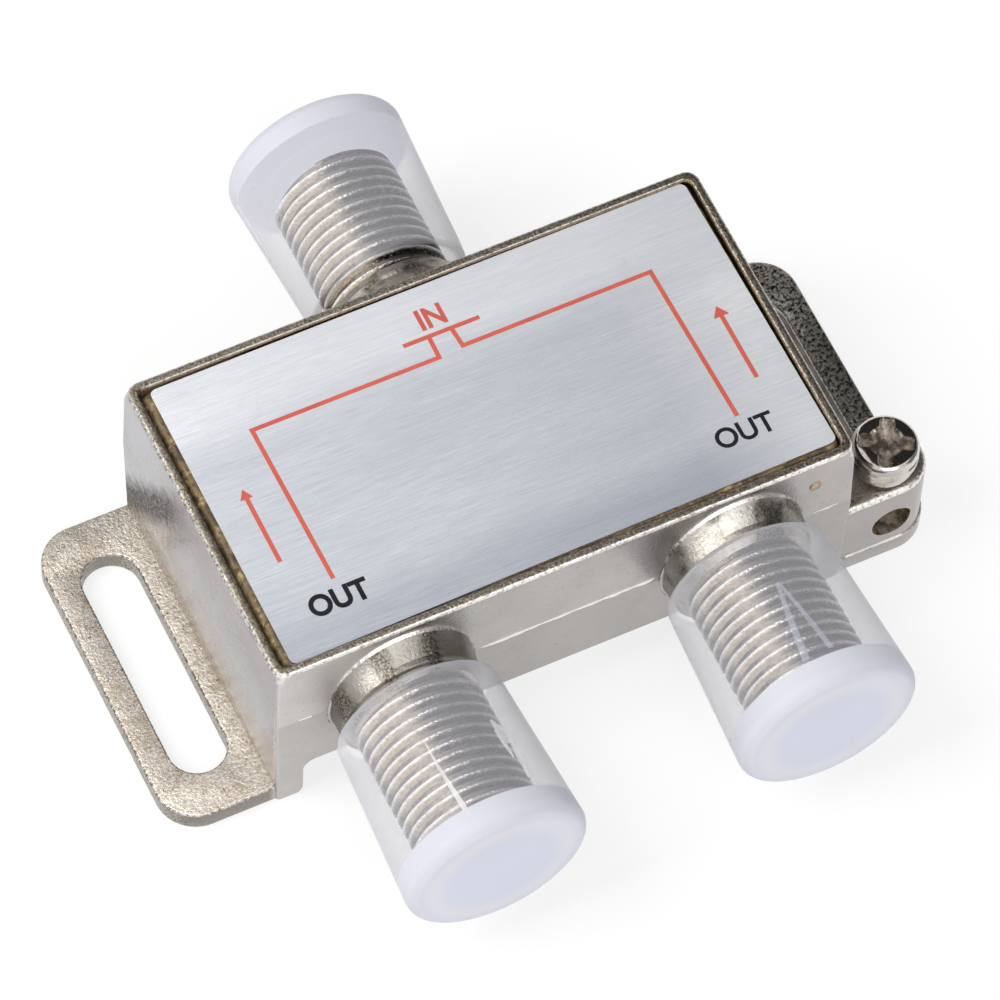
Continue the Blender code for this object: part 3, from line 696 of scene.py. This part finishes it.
ferrite = make_flat("ferrite", (0.045, 0.045, 0.05), (0.075, 0.075, 0.08), 0.55)
copper = make_flat("copper", (0.62, 0.28, 0.14), (0.75, 0.38, 0.20), 0.3, 1.0)
ceramic = make_flat("ceramic", (0.55, 0.38, 0.22), (0.66, 0.48, 0.30), 0.45)
resistor_blue = make_flat("resistor_blue", (0.20, 0.40, 0.55), (0.28, 0.48, 0.62), 0.35)


# The thread tree: a ridge that winds round an axis.


def make_thread_tree():
    tree = bpy.data.node_groups.new("wound ridge", "GeometryNodeTree")
    face = tree.interface
    face.new_socket("Geometry", in_out="INPUT", socket_type="NodeSocketGeometry")
    sizes = {"Radius": 4.3, "Pitch": 0.9, "Length": 10.0, "Base": 0.8, "Crest": 0.2, "Rise": 0.5}
    for label, size in sizes.items():
        face.new_socket(label, in_out="INPUT", socket_type="NodeSocketFloat").default_value = size * mm
    face.new_socket("Steps", in_out="INPUT", socket_type="NodeSocketInt").default_value = 64
    face.new_socket("Surface", in_out="INPUT", socket_type="NodeSocketMaterial")
    face.new_socket("Geometry", in_out="OUTPUT", socket_type="NodeSocketGeometry")
    outputs = tree.nodes.new("NodeGroupInput").outputs
    given = {label: Value(outputs[label]) for label in (*sizes, "Steps", "Surface")}

    def step(kind, inputs, **settings):
        return output_of(tree, "GeometryNode" + kind, inputs, **settings)

    path = step("CurveSpiral", {
        "Resolution": given["Steps"], "Rotations": given["Length"] / given["Pitch"],
        "Start Radius": given["Radius"], "End Radius": given["Radius"], "Height": given["Length"],
    })
    path = step("SetCurveNormal", {"Curve": path}, mode="Z_UP")
    profile = step("CurvePrimitiveQuadrilateral", {
        "Bottom Width": given["Base"], "Top Width": given["Crest"], "Height": given["Rise"], "Offset": 0.0,
    }, mode="TRAPEZOID")
    profile = step("Transform", {"Geometry": profile, "Rotation": (0.0, 0.0, math.pi / 2)})
    whole = step("CurveToMesh", {"Curve": path, "Profile Curve": profile, "Fill Caps": True})
    whole = step("RealizeInstances", {0: whole})
    whole = step("SetMaterial", {"Geometry": whole, "Material": given["Surface"]})
    feed(tree.nodes.new("NodeGroupOutput"), {0: whole})
    return tree


thread_tree = make_thread_tree()


def wound_ridge(name, surface, **sizes):
    """A plain mesh from the thread tree, along Z from 0."""
    made = add_object(name, bpy.data.meshes.new(name))
    step = made.modifiers.new("wound", "NODES")
    step.node_group = thread_tree
    for item in thread_tree.interface.items_tree:
        if item.in_out == "INPUT" and item.name in sizes:
            step[item.identifier] = sizes[item.name]
        if item.name == "Surface":
            step[item.identifier] = surface
    return baked(made)


# The casting.


def make_casting_body():
    """The walls, the rim, the recess for the plate and the cavity, as one closed shell."""
    top, edge = body_height, 0.3 * mm
    rings = []

    def outer(z, inset=0.0, corner=wall_corner):
        span = port_height if z < port_height else top - port_height
        grow = draft_run * (1 - abs(z - port_height) / span) - inset
        rings.append(ring(half_length + grow, half_depth + grow, corner, z))

    outer(0.0, 0.12 * mm)
    outer(0.12 * mm)
    outer(port_height)
    outer(top - 1.3 * mm)
    outer(top - 0.7 * mm, corner=0.75 * mm)
    outer(top - edge, corner=rim_corner)
    for step in range(1, 6):
        angle = math.pi / 2 * step / 5
        inset = edge * (1 - math.cos(angle))
        outer(top - edge * (1 - math.sin(angle)), inset, rim_corner - inset)
    soft = 0.22 * mm
    for step in range(5):
        angle = math.pi / 8 * step
        away, down = soft * (1 - math.sin(angle)), soft * (1 - math.cos(angle))
        rings.append(ring(recess_x + away, recess_y + away, recess_corner + away, top - down))
    rings.append(ring(recess_x, recess_y, recess_corner, ledge_height))
    for half, z in (
        (cavity_x, ledge_height), (cavity_x, shelf_height), (shelf_x, shelf_height), (shelf_x, cavity_floor)
    ):
        rings.append(ring(half, cavity_y, cavity_corner, z))
    return lofted("cast_housing", rings)


def make_ear(side):
    root, end = side * ear_root, side * ear_end
    corner = 3.0 * mm
    corners = [(root, -ear_side, 0), (end, -ear_side, corner), (end, ear_side, corner), (root, ear_side, 0)]
    front = -slot_back if side < 0 else right_slot_front
    near, far = side * slot_near, side * slot_far
    r = abs(far - near) / 2 - 0.0005 * mm
    slot = outline([(near, front, r), (far, front, r), (far, slot_back, r), (near, slot_back, r)], 14)
    return plate_from(f"ear_{side}", [outline(corners, 12), slot], 0.0, ear_thickness, 0.2 * mm)


def make_slot_step():
    """The right slot's outer wall leans in and ends in a step near the floor."""
    radius = (slot_far - slot_near) / 2
    middle = (slot_far + slot_near) / 2
    ends = ((right_slot_front, -75), (slot_back, 0))
    path = [(end, math.radians(start + 5 * step)) for end, start in ends for step in range(16)]
    profile = (
        (-0.15, 0.02), (-0.15, 1.3), (0.0, 1.25), (0.14, 0.95), (0.2, 0.74), (0.3, 0.7), (0.58, 0.62),
        (0.66, 0.5), (0.66, 0.02),
    )
    rows = []
    for end, angle in path:
        fade = min(1.0, (math.radians(76) - abs(angle)) / math.radians(30))
        row = []
        for inward, z in profile:
            reach = radius - (inward * fade if inward > 0 else inward) * mm
            row.append(Vector((middle + reach * math.cos(angle), end + reach * math.sin(angle), z * mm)))
        rows.append(row)
    made = lofted("slot_step", rows, 40.0)
    finish_piece(made, shaded_step_metal, "splitter", "cast_nickel", "housing")


def make_block():
    front, back, end = -12.5 * mm, -7.5 * mm, 29.5 * mm
    corners = [(ear_root, front, 0), (end, front, 2.75 * mm), (end, back, 0.6 * mm), (ear_root, back, 0)]
    return plate_from("ground_block", [outline(corners, 12)], 0.6 * mm, 8.0 * mm, 0.42 * mm)


def port_profile():
    """The collar with its flare, the relief, and the plain barrel under the thread."""
    wall_face, tip = half_depth, half_depth + barrel_length
    collar_end = half_depth + collar_length
    profile = [(0.0, tip), (thread_root - 0.35 * mm, tip), (thread_root, tip - 0.3 * mm)]
    profile += [(thread_root, collar_end + 0.75 * mm), (collar_radius - 0.55 * mm, collar_end + 0.55 * mm)]
    profile += [(collar_radius - 0.25 * mm, collar_end)]
    profile += arc(collar_radius - 0.25 * mm, collar_end - 0.25 * mm, 0.25 * mm, 90, 0, 4)[1:]
    fillet = 0.22 * mm
    profile += arc(collar_radius + 0.02 * mm + fillet, wall_face + 0.15 * mm + fillet, fillet, 180, 262, 6)
    profile += [(collar_radius + 0.3 * mm, wall_face - 1.0 * mm), (0.0, wall_face - 1.0 * mm)]
    return profile


def make_threads(name, place):
    """A port's thread: wound, then turned down to its envelope at both ends."""
    length = barrel_length - thread_start
    made = wound_ridge(
        f"thread_{name}", thread_nickel, Radius=thread_root + 0.1 * mm, Pitch=thread_pitch,
        Length=length, Base=0.86 * mm, Crest=0.16 * mm, Rise=0.66 * mm, Steps=72,
    )
    for vertex in made.data.vertices:
        x, y, z = vertex.co
        across = math.hypot(x, y)
        room = min(z + 0.2 * mm, length - z + 0.1 * mm)
        limit = min(thread_crest, thread_root - 0.1 * mm + max(0.0, room))
        if across > limit:
            vertex.co.x *= limit / across
            vertex.co.y *= limit / across
        vertex.co.z = min(max(z, 0.0), length)
    made.data.transform(place @ Matrix.Translation((0, 0, half_depth + thread_start)))
    return smooth_again(made, 50.0)


def cylinder(name, radius, start, end, place, steps=64):
    return turned(name, [(0.0, end), (radius, end), (radius, start), (0.0, start)], place, steps)


def make_casting():
    body = make_casting_body()
    adds = [make_ear(-1), make_ear(1), make_block()]
    cuts = []
    out_x, over = foot_inner + 0.8 * mm, 2 * mm
    arch = [
        (out_x, -over, 0), (out_x, 0.0, 0), (foot_inner, 0.0, 0.79 * mm), (foot_inner, arch_height, 0.9 * mm)
    ]
    arch += [(-x, z, corner) for x, z, corner in reversed(arch)]
    upright = Matrix.Rotation(math.pi / 2, 4, "X")
    cuts.append(plate_from("arch", [outline(arch)], -16 * mm, 16 * mm, place=upright))
    for name, (x, way) in ports.items():
        place = port_frame(x, way)
        adds.append(turned(f"port_{name}", port_profile(), place))
        # The collar's top slopes up to the rim.
        fairing_end = 14.35 * mm
        fairing = cylinder(f"fairing_{name}", collar_radius - 0.01 * mm, 12.3 * mm, fairing_end, place, 96)
        for vertex in fairing.data.vertices:
            vertex.co.z += 0.68 * (fairing_end - way * vertex.co.y)
        adds.append(fairing)
        cuts.append(cylinder(f"bore_{name}", 3.3 * mm, 11.8 * mm, 30 * mm, place))
        cuts.append(cylinder(f"wall_hole_{name}", 2.2 * mm, 8 * mm, 13 * mm, place))
    along_y = Matrix.Translation((hole_x, 0.0, hole_z)) @ upright
    cuts.append(cylinder("ground_hole", hole_radius, 5 * mm, 15 * mm, along_y))
    along_z = Matrix.Translation((screw_x, screw_y, 0))
    cuts.append(cylinder("screw_hole", hole_radius, hole_z, 10 * mm, along_z))
    body = merge(body, adds)
    body = merge(body, cuts, "DIFFERENCE")
    smooth_again(body, 32.0)
    finish_piece(body, cast_nickel, "splitter", "cast_nickel", "housing")
    for name, (x, way) in ports.items():
        made = make_threads(name, port_frame(x, way))
        finish_piece(made, thread_nickel, "splitter", "cast_nickel", "housing")


def make_flash_line(name, start, end, z, proud, half_height=0.07 * mm, y=-half_depth):
    """A thin ragged ridge where the mould halves met, along X on a front face."""
    steps = max(8, round((end - start) / (0.25 * mm)))
    rows = []
    for index in range(steps + 1):
        x = start + (end - start) * index / steps
        ragged = 0.85 + 0.45 * noise.noise(Vector((x * 1400.0, z * 900.0, 0.5)))
        fade = min(1.0, 14.0 * min(index, steps - index) / steps + 0.05)
        reach, tall = proud * ragged * fade, half_height * (0.7 + 0.5 * ragged)
        rows.append([
            (x, y + 0.1 * mm, z - tall), (x, y - reach, z - 0.35 * tall),
            (x, y - reach, z + 0.35 * tall), (x, y + 0.1 * mm, z + tall),
        ])
    made = lofted(name, rows, 70.0)
    finish_piece(made, flash_painted_highlight, "splitter", "cast_nickel", "housing")


def make_pit(name, x, z, radius):
    """A small round blister in the front wall, with a sunken middle."""
    place = Matrix.Translation((x, -half_depth - 0.04 * mm, z)) @ Matrix.Rotation(math.pi / 2, 4, "X")
    profile = [(0.0, 0.0), (0.5 * radius, 0.01 * mm), (0.75 * radius, 0.09 * mm), (0.95 * radius, 0.06 * mm)]
    profile += [(1.1 * radius, -0.06 * mm), (0.0, -0.06 * mm)]
    made = turned(name, profile, place, 32, smooth=60.0)
    finish_piece(made, pit_metal, "splitter", "cast_nickel", "housing")


# The plate lies slightly turned in its recess, so the resin shows wider at the front right.
plate_corners = [(20.85, 11.98), (-20.43, 11.8), (-20.45, -11.93), (21.15, -11.38)]


def plate_outline(grow=0.0):
    """The plate's outline, grown or shrunk, starting at its back right corner."""
    corners = []
    for x, y in plate_corners:
        corners.append((x * mm + math.copysign(grow, x), y * mm + math.copysign(grow, y), 0.55 * mm + grow))
    return outline(corners, 8)


def make_plate():
    soft = 0.07 * mm
    rows = []
    for grow, z in (
        (-soft, plate_bottom), (0.0, plate_bottom + soft), (0.0, plate_top - soft),
        (-0.3 * soft, plate_top - 0.3 * soft), (-soft, plate_top),
    ):
        rows.append([Vector((p.x, p.y, z)) for p in plate_outline(grow)])
    made = lofted("printed_plate", rows, 50.0)
    finish_piece(made, brushed_aluminium, "splitter", "brushed_aluminium", "face_plate")


def make_bead():
    """Resin that has crept up round the plate, uneven along its length, with a groove at the rim."""
    gap = 0.02 * mm
    outer = [Vector((p.x, p.y)) for p in ring(recess_x - gap, recess_y - gap, recess_corner, 0.0)]
    inner = plate_outline(0.01 * mm)
    count = len(outer)
    shares = (
        (0.0, 15.75), (0.0, 16.42), (0.12, 16.36), (0.28, 16.62), (0.5, 16.8), (0.8, 16.84), (1.0, 16.76),
        (1.0, 15.75),
    )
    rows = [[] for _ in shares]
    for index in range(count):
        after = (index + 1) % count
        steps = max(1, round((outer[after] - outer[index]).length / (0.22 * mm)))
        for step in range(steps):
            part = step / steps
            far = outer[index].lerp(outer[after], part)
            near = inner[index].lerp(inner[after], part)
            for row, (share, height) in zip(rows, shares):
                spot = far.lerp(near, share)
                rise = 0.0
                if height > 16.0:
                    seed = Vector((spot.x, spot.y, 0.0)) * 900.0
                    rise = 0.13 * mm * (noise.noise(seed) + 0.5 * noise.noise(seed * 2.7))
                row.append(Vector((spot.x, spot.y, height * mm + rise)))
    made = lofted("resin_bead", rows, 60.0, loop=True)
    finish_piece(made, resin, "splitter", "brown_resin", "seal_bead")


# The print on the plate.


def ribbon(name, points, width, surface, lift=print_rise):
    """A printed line of one width along a path on the plate."""
    left, right = [], []
    count = len(points)
    for index, point in enumerate(points):
        here = Vector(point)
        into = (here - Vector(points[index - 1])).normalized() if index else None
        away = (Vector(points[index + 1]) - here).normalized() if index < count - 1 else None
        into, away = into or away, away or into
        across = (Vector((-into.y, into.x)) + Vector((-away.y, away.x))).normalized()
        reach = width / 2 / max(0.3, across.dot(Vector((-into.y, into.x))))
        left.append(here + across * reach)
        right.append(here - across * reach)
    shape = bmesh.new()
    outline_points = left + right[::-1]
    low = [shape.verts.new((p.x, p.y, plate_top)) for p in outline_points]
    high = [shape.verts.new((p.x, p.y, plate_top + lift)) for p in outline_points]
    total = len(outline_points)
    for index in range(count - 1):
        a, b, c, d = index, index + 1, total - 2 - index, total - 1 - index
        shape.faces.new((high[a], high[b], high[c], high[d]))
        shape.faces.new((low[d], low[c], low[b], low[a]))
    for index in range(total):
        after = (index + 1) % total
        shape.faces.new((low[index], low[after], high[after], high[index]))
    made = object_from(shape, name)
    return finish_piece(made, surface, "splitter", "brushed_aluminium")


def label(name, words, low, high, surface, weight=0.0):
    """A short port label, stretched to a box on the plate."""
    text = bpy.data.curves.new(name, "FONT")
    text.body = words
    text.size = 0.002
    text.offset = weight
    text.resolution_u = 6
    mesh = mesh_of(add_object(name + "_text", text))
    for axis in (0, 1):
        spread = [v.co[axis] for v in mesh.vertices]
        start, size = min(spread), max(spread) - min(spread)
        for vertex in mesh.vertices:
            vertex.co[axis] = low[axis] + (vertex.co[axis] - start) / size * (high[axis] - low[axis])
            vertex.co.z = plate_top
    shape = bmesh.new()
    shape.from_mesh(mesh)
    bmesh.ops.remove_doubles(shape, verts=shape.verts, dist=1e-8)
    base = bmesh.ops.extrude_face_region(shape, geom=shape.faces[:])
    raised = [v for v in base["geom"] if isinstance(v, bmesh.types.BMVert)]
    bmesh.ops.translate(shape, vec=(0, 0, print_rise), verts=raised)
    made = object_from(shape, name)
    return finish_piece(made, surface, "splitter", "brushed_aluminium")


def at(*pairs):
    return [(x * mm, y * mm) for x, y in pairs]


def make_print():
    thin = 0.33 * mm
    ribbon("red_path_left", at((-15.15, -7.0), (-15.3, 6.05), (-1.0, 6.05), (-0.95, 7.75)), thin, red_print)
    over = print_rise + 0.001 * mm
    ribbon("red_path_bar", at((-2.9, 7.9), (2.97, 7.9)), thin, red_print, over)
    ribbon("red_path_right", at((0.8, 7.75), (0.92, 6.25), (15.5, 6.3), (15.77, -6.8)), thin, red_print)
    for name, x, tip, base, half, low in (
        ("left", -17.9, 2.0, 1.18, 0.48, -4.3), ("right", 18.42, 1.85, 0.95, 0.6, -4.55)
    ):
        ribbon(f"red_arrow_shaft_{name}", at((x, base), (x, low)), thin, red_print)
        corners = at((x - half, base), (x + half, base), (x, tip))
        rows = [[(*corner, z) for corner in corners] for z in (plate_top, plate_top + over)]
        head = lofted(f"red_arrow_head_{name}", rows)
        finish_piece(head, red_print, "splitter", "brushed_aluminium")
    label("label_in", "IN", *at((-1.1, 8.45), (0.87, 10.2)), red_print, 0.06 * mm)
    label("label_out_left", "OUT", *at((-17.65, -9.4), (-13.2, -7.65)), black_print, 0.07 * mm)
    label("label_out_right", "OUT", *at((13.5, -8.9), (17.95, -7.25)), black_print, 0.04 * mm)


# Caps, screw and the pieces inside.

cap_lifts = {"in": 16.1, "out_left": 15.5, "out_right": 15.1}
cap_sides = [(6.8, 12.35), (6.72, 11.0), (6.55, 8.0), (6.35, 4.5), (6.18, 1.2)]


def make_caps():
    end, hollow, bore = cap_end / mm, hollow_end / mm, hollow_radius / mm
    profile = [(0.0, end), (4.0, end)] + arc(5.8, end - 1.0, 1.0, 90, 0, 8) + cap_sides[1:]
    profile += arc(5.88, 0.22, 0.22, 0, -90, 4)
    profile += [(5.4, 0.0), (5.15, 0.25), (bore, 0.6), (bore, 6.0), (bore, hollow - 0.4)]
    profile += arc(bore - 0.3, hollow - 0.3, 0.3, 0, 90, 4) + [(0.0, hollow)]
    profile = at(*profile)
    for name, (x, way) in ports.items():
        place = port_frame(x, way) @ Matrix.Translation((0, 0, cap_lifts[name] * mm))
        made = turned(f"milky_cap_{name}", profile, place, 128, smooth=50.0)
        back_home = place.inverted()
        heights = made.data.attributes.new("cap_height", "FLOAT", "POINT")
        radii = made.data.attributes.new("cap_radius", "FLOAT", "POINT")
        for index, vertex in enumerate(made.data.vertices):
            home = back_home @ vertex.co
            heights.data[index].value = home.z
            radii.data[index].value = math.hypot(home.x, home.y)
        finish_piece(made, milky_plastic, f"cap_{name}", "milky_plastic", f"dust_cap_{name}")


def cap_radius_at(height):
    """The cap's outer radius, in mm, at a height above its mouth."""
    for (r1, h1), (r0, h0) in zip(cap_sides, cap_sides[1:]):
        if h0 <= height <= h1:
            return r0 + (r1 - r0) * (height - h0) / (h1 - h0)
    return cap_sides[-1][0]


def make_cap_mark(name, port, surface, points):
    """A sliver on a cap from (distance from the wall, angle, width) points; angle 90 is up."""
    x, way = ports[port]
    rows, path, steps = [], [], 12
    for first, last in zip(points, points[1:]):
        path += [[a + (b - a) * step / steps for a, b in zip(first, last)] for step in range(steps)]
    path.append(list(points[-1]))
    for out, angle, width in path:
        y = out + half_depth / mm
        radius = cap_radius_at(y - cap_lifts[port])
        half = math.degrees(width / 2 / radius)
        row = []
        for lift in (-0.05, 0.03):
            for turn in (-half, 0.0, half):
                at_angle = math.radians(angle + (turn if lift > 0 else -turn))
                reach = radius + lift
                up = port_height + reach * math.sin(at_angle) * mm
                row.append((x + reach * math.cos(at_angle) * mm, way * y * mm, up))
        rows.append(row)
    made = lofted(name, rows, 60.0)
    finish_piece(made, surface, f"cap_{port}", "milky_plastic")


def make_cap_marks():
    # The bright line on the left cap is a painted highlight; the bruises are rubbed plastic.
    for name, port, *points in (
        ("bright_line_left", "out_left", (7.9, 108.5, 0.05), (10.05, 108.3, 0.22), (14.6, 105.5, 0.42)),
        ("bruise_left_top", "out_left", (8.1, 63.5, 0.15), (8.9, 61.5, 0.65), (10.2, 60.5, 0.2)),
        ("bruise_left_side", "out_left", (9.0, 65.0, 0.08), (10.2, 63.6, 0.3), (11.4, 63.0, 0.08)),
        ("bruise_left_low", "out_left", (9.8, 58.2, 0.12), (11.2, 58.6, 0.45), (13.2, 60.5, 0.1)),
        ("wedge_left_leg", "out_right", (6.9, 92.6, 0.25), (9.5, 96.5, 0.42), (13.3, 101.0, 0.55)),
        ("wedge_right_leg", "out_right", (6.9, 91.8, 0.2), (9.5, 88.0, 0.3), (13.1, 84.0, 0.4)),
        ("slit_in", "in", (8.9, 180.0, 0.1), (11.6, 180.0, 0.3), (14.4, 180.0, 0.15)),
    ):
        make_cap_mark(name, port, blue_streak if port == "out_right" else white_scuff_and_highlight, points)


def make_screw():
    top = screw_head
    profile = [(0.0, top + 0.15 * mm), (0.9 * mm, top + 0.12 * mm), (1.6 * mm, top + 0.02 * mm)]
    profile += arc(1.85 * mm, top - 0.58 * mm, 0.57 * mm, 72, 5, 7)
    for radius, height in (
        (2.42, 2.15), (2.3, 2.02), (2.3, 1.92), (2.42, 1.78), (2.44, 1.6), (2.42, 1.2), (2.3, 1.02),
        (2.26, 0.9), (2.3, 0.75), (2.2, 0.3), (2.05, 0.0), (1.25, 0.0), (1.12, -0.1), (1.12, -2.9),
        (0.8, -3.35), (0.0, -3.35),
    ):
        profile.append((radius * mm, height * mm))
    place = Matrix.Translation((screw_x, screw_y, screw_seat))
    screw = turned("clamp_screw", profile, place, 96)
    arms = []
    for index, turn in enumerate((1.05, 1.05 + math.pi / 2)):
        rows = [
            ring(half_length * mm, half_width * mm, 0.3 * mm, top + rise * mm, steps=4)
            for rise, half_length, half_width in ((-1.4, 1.1, 0.28), (-0.2, 1.95, 0.50), (0.5, 2.25, 0.70))
        ]
        arms.append(lofted(f"arm_{index}", rows, place=place @ Matrix.Rotation(turn, 4, "Z")))
    funnel = [(0.0, top + 0.4 * mm), (1.5 * mm, top + 0.4 * mm), (1.1 * mm, top - 0.3 * mm)]
    funnel += [(0.5 * mm, top - 1.8 * mm), (0.0, top - 1.9 * mm)]
    arms.append(turned("funnel", funnel, place, 48))
    screw = merge(screw, arms, "DIFFERENCE")
    smooth_again(screw, 30.0)
    finish_piece(screw, bright_nickel, "screw", "bright_nickel", "ground_screw")
    thread = wound_ridge(
        "clamp_screw_thread", bright_nickel, Radius=1.12 * mm, Pitch=0.5 * mm, Length=2.8 * mm,
        Base=0.42 * mm, Crest=0.08 * mm, Rise=0.24 * mm, Steps=40,
    )
    thread.data.transform(place @ Matrix.Translation((0, 0, -3.0 * mm)))
    smooth_again(thread, 50.0)
    finish_piece(thread, bright_nickel, "screw", "bright_nickel", "ground_screw")


def dress_inner_nodes():
    """Better finishes for the CAD pieces that stay as they are."""
    finishes = {
        "face_plate": brushed_aluminium, "circuit_board": board_green, "isolation_resistor": resistor_blue,
        "matching_core": ferrite, "splitting_core": ferrite,
        "matching_winding": copper, "splitting_winding": copper,
    }
    for name in ports:
        finishes[f"insulator_{name}"] = white_plastic
        finishes[f"contact_{name}"] = brass
        finishes[f"choke_{name}"] = ferrite
        finishes[f"capacitor_{name}"] = ceramic
    for name, surface in finishes.items():
        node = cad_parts[name]
        node.data.materials.clear()
        node.data.materials.append(surface)


make_casting()
make_slot_step()
for name, *sizes in (
    ("flash_left", -20.6, -19.35, 10.68, 0.2), ("flash_middle", -7.45, 7.4, 10.7, 0.26, 0.09),
    ("flash_right", 18.8, 21.2, 10.9, 0.2), ("flash_block", 22.5, 27.0, 1.72, 0.04, 0.06, -12.58),
):
    make_flash_line(name, *(size * mm for size in sizes))
make_pit("gold_pit", 19.0 * mm, 14.5 * mm, 0.5 * mm)
make_pit("ring_pit", -18.22 * mm, 9.87 * mm, 0.33 * mm)
make_plate()
make_bead()
make_print()
make_caps()
make_cap_marks()
make_screw()
dress_inner_nodes()


# The floor, the light and the camera.


def seen_directly(tree):
    """1 for camera, glossy and transmission rays."""
    rays = tree.nodes.new("ShaderNodeLightPath").outputs
    return most(*(Value(rays[f"Is {kind} Ray"]) for kind in ("Camera", "Glossy", "Transmission")))


def glow(tree, shade):
    return output_of(tree, "ShaderNodeEmission", {"Color": shade, "Strength": 1.0})


def make_floor():
    shape = bmesh.new()
    bmesh.ops.create_grid(shape, x_segments=8, y_segments=8, size=1.2)
    floor = object_from(shape, "floor")
    made = bpy.data.materials.new("pale_floor")
    made.use_nodes = True
    tree = made.node_tree
    shader = tree.nodes["Principled BSDF"]
    paint(shader, Base_Color=(0.9, 0.9, 0.9), Roughness=0.9, Specular_IOR_Level=0.1)
    inputs = {0: seen_directly(tree) * 0.75, 1: Value(shader.outputs[0]), 2: glow(tree, (1.0, 1.0, 1.0))}
    feed(tree.nodes["Material Output"], {"Surface": output_of(tree, "ShaderNodeMixShader", inputs)})
    floor.data.materials.append(made)


def card(name, centre, towards, width, height, shade):
    """A plain card beside the object that only reflections see."""
    shape = bmesh.new()
    bmesh.ops.create_grid(shape, x_segments=2, y_segments=2, size=0.5)
    look = (Vector(towards) - Vector(centre)).to_track_quat("Z", "Y").to_matrix().to_4x4()
    place = Matrix.Translation(centre) @ look @ Matrix.Diagonal((width, height, 1.0, 1.0))
    made = object_from(shape, name, place=place)
    surface = bpy.data.materials.new(name + "_shade")
    surface.use_nodes = True
    feed(surface.node_tree.nodes["Material Output"], {"Surface": glow(surface.node_tree, shade)})
    made.data.materials.append(surface)
    made.visible_camera = made.visible_diffuse = made.visible_transmission = made.visible_shadow = False


def lamp(name, place, size, power, tint=(1.0, 1.0, 1.0)):
    light = bpy.data.lights.new(name, "AREA")
    light.shape = "RECTANGLE"
    light.size, light.size_y = size
    light.energy = power
    light.color = tint
    made = add_object(name, light)
    made.location = place
    made.rotation_euler = (Vector((0, 0, 0.008)) - Vector(place)).to_track_quat("-Z", "Y").to_euler()


def make_world():
    world = bpy.data.worlds.new("soft_room")
    bpy.context.scene.world = world
    world.use_nodes = True
    tree = world.node_tree
    paint(tree.nodes["Background"], Color=(1.0, 1.0, 1.0), Strength=seen_directly(tree).between(0.55, 1.0))


def make_camera():
    data = bpy.data.cameras.new("camera")
    data.lens = 256.33
    data.sensor_width = 36.0
    data.clip_start, data.clip_end = 0.01, 10.0
    camera = add_object("camera", data)
    camera.location = (-0.121246, -0.225616, 0.437693)
    back = Vector((-0.2435, -0.4487, 0.8599))
    facing = (-back).to_track_quat("-Z", "Y")
    camera.rotation_mode = "QUATERNION"
    camera.rotation_quaternion = facing @ Quaternion((0, 0, 1), math.radians(3.4242))
    bpy.context.scene.camera = camera


make_floor()
make_world()
make_camera()
lamp("key", (-0.38, 0.05, 0.5), (0.3, 0.4), 3.0, (1.0, 0.985, 0.96))
lamp("fill", (-0.05, -0.45, 0.45), (0.4, 0.3), 1.4)
card("dark_above", (0.205, 0.17, 0.12), (0.205, 0.17, 0.0), 0.38, 0.42, (0.03, 0.029, 0.028))
card("warm_left", (-0.25, 0.14, 0.26), (0, 0, 0.01), 0.16, 0.2, (1.7, 1.58, 1.42))
card("grey_side", (0.32, -0.05, 0.12), (0, 0, 0.01), 0.5, 0.3, (0.22, 0.21, 0.21))

bpy.context.scene.view_settings.view_transform = "Standard"
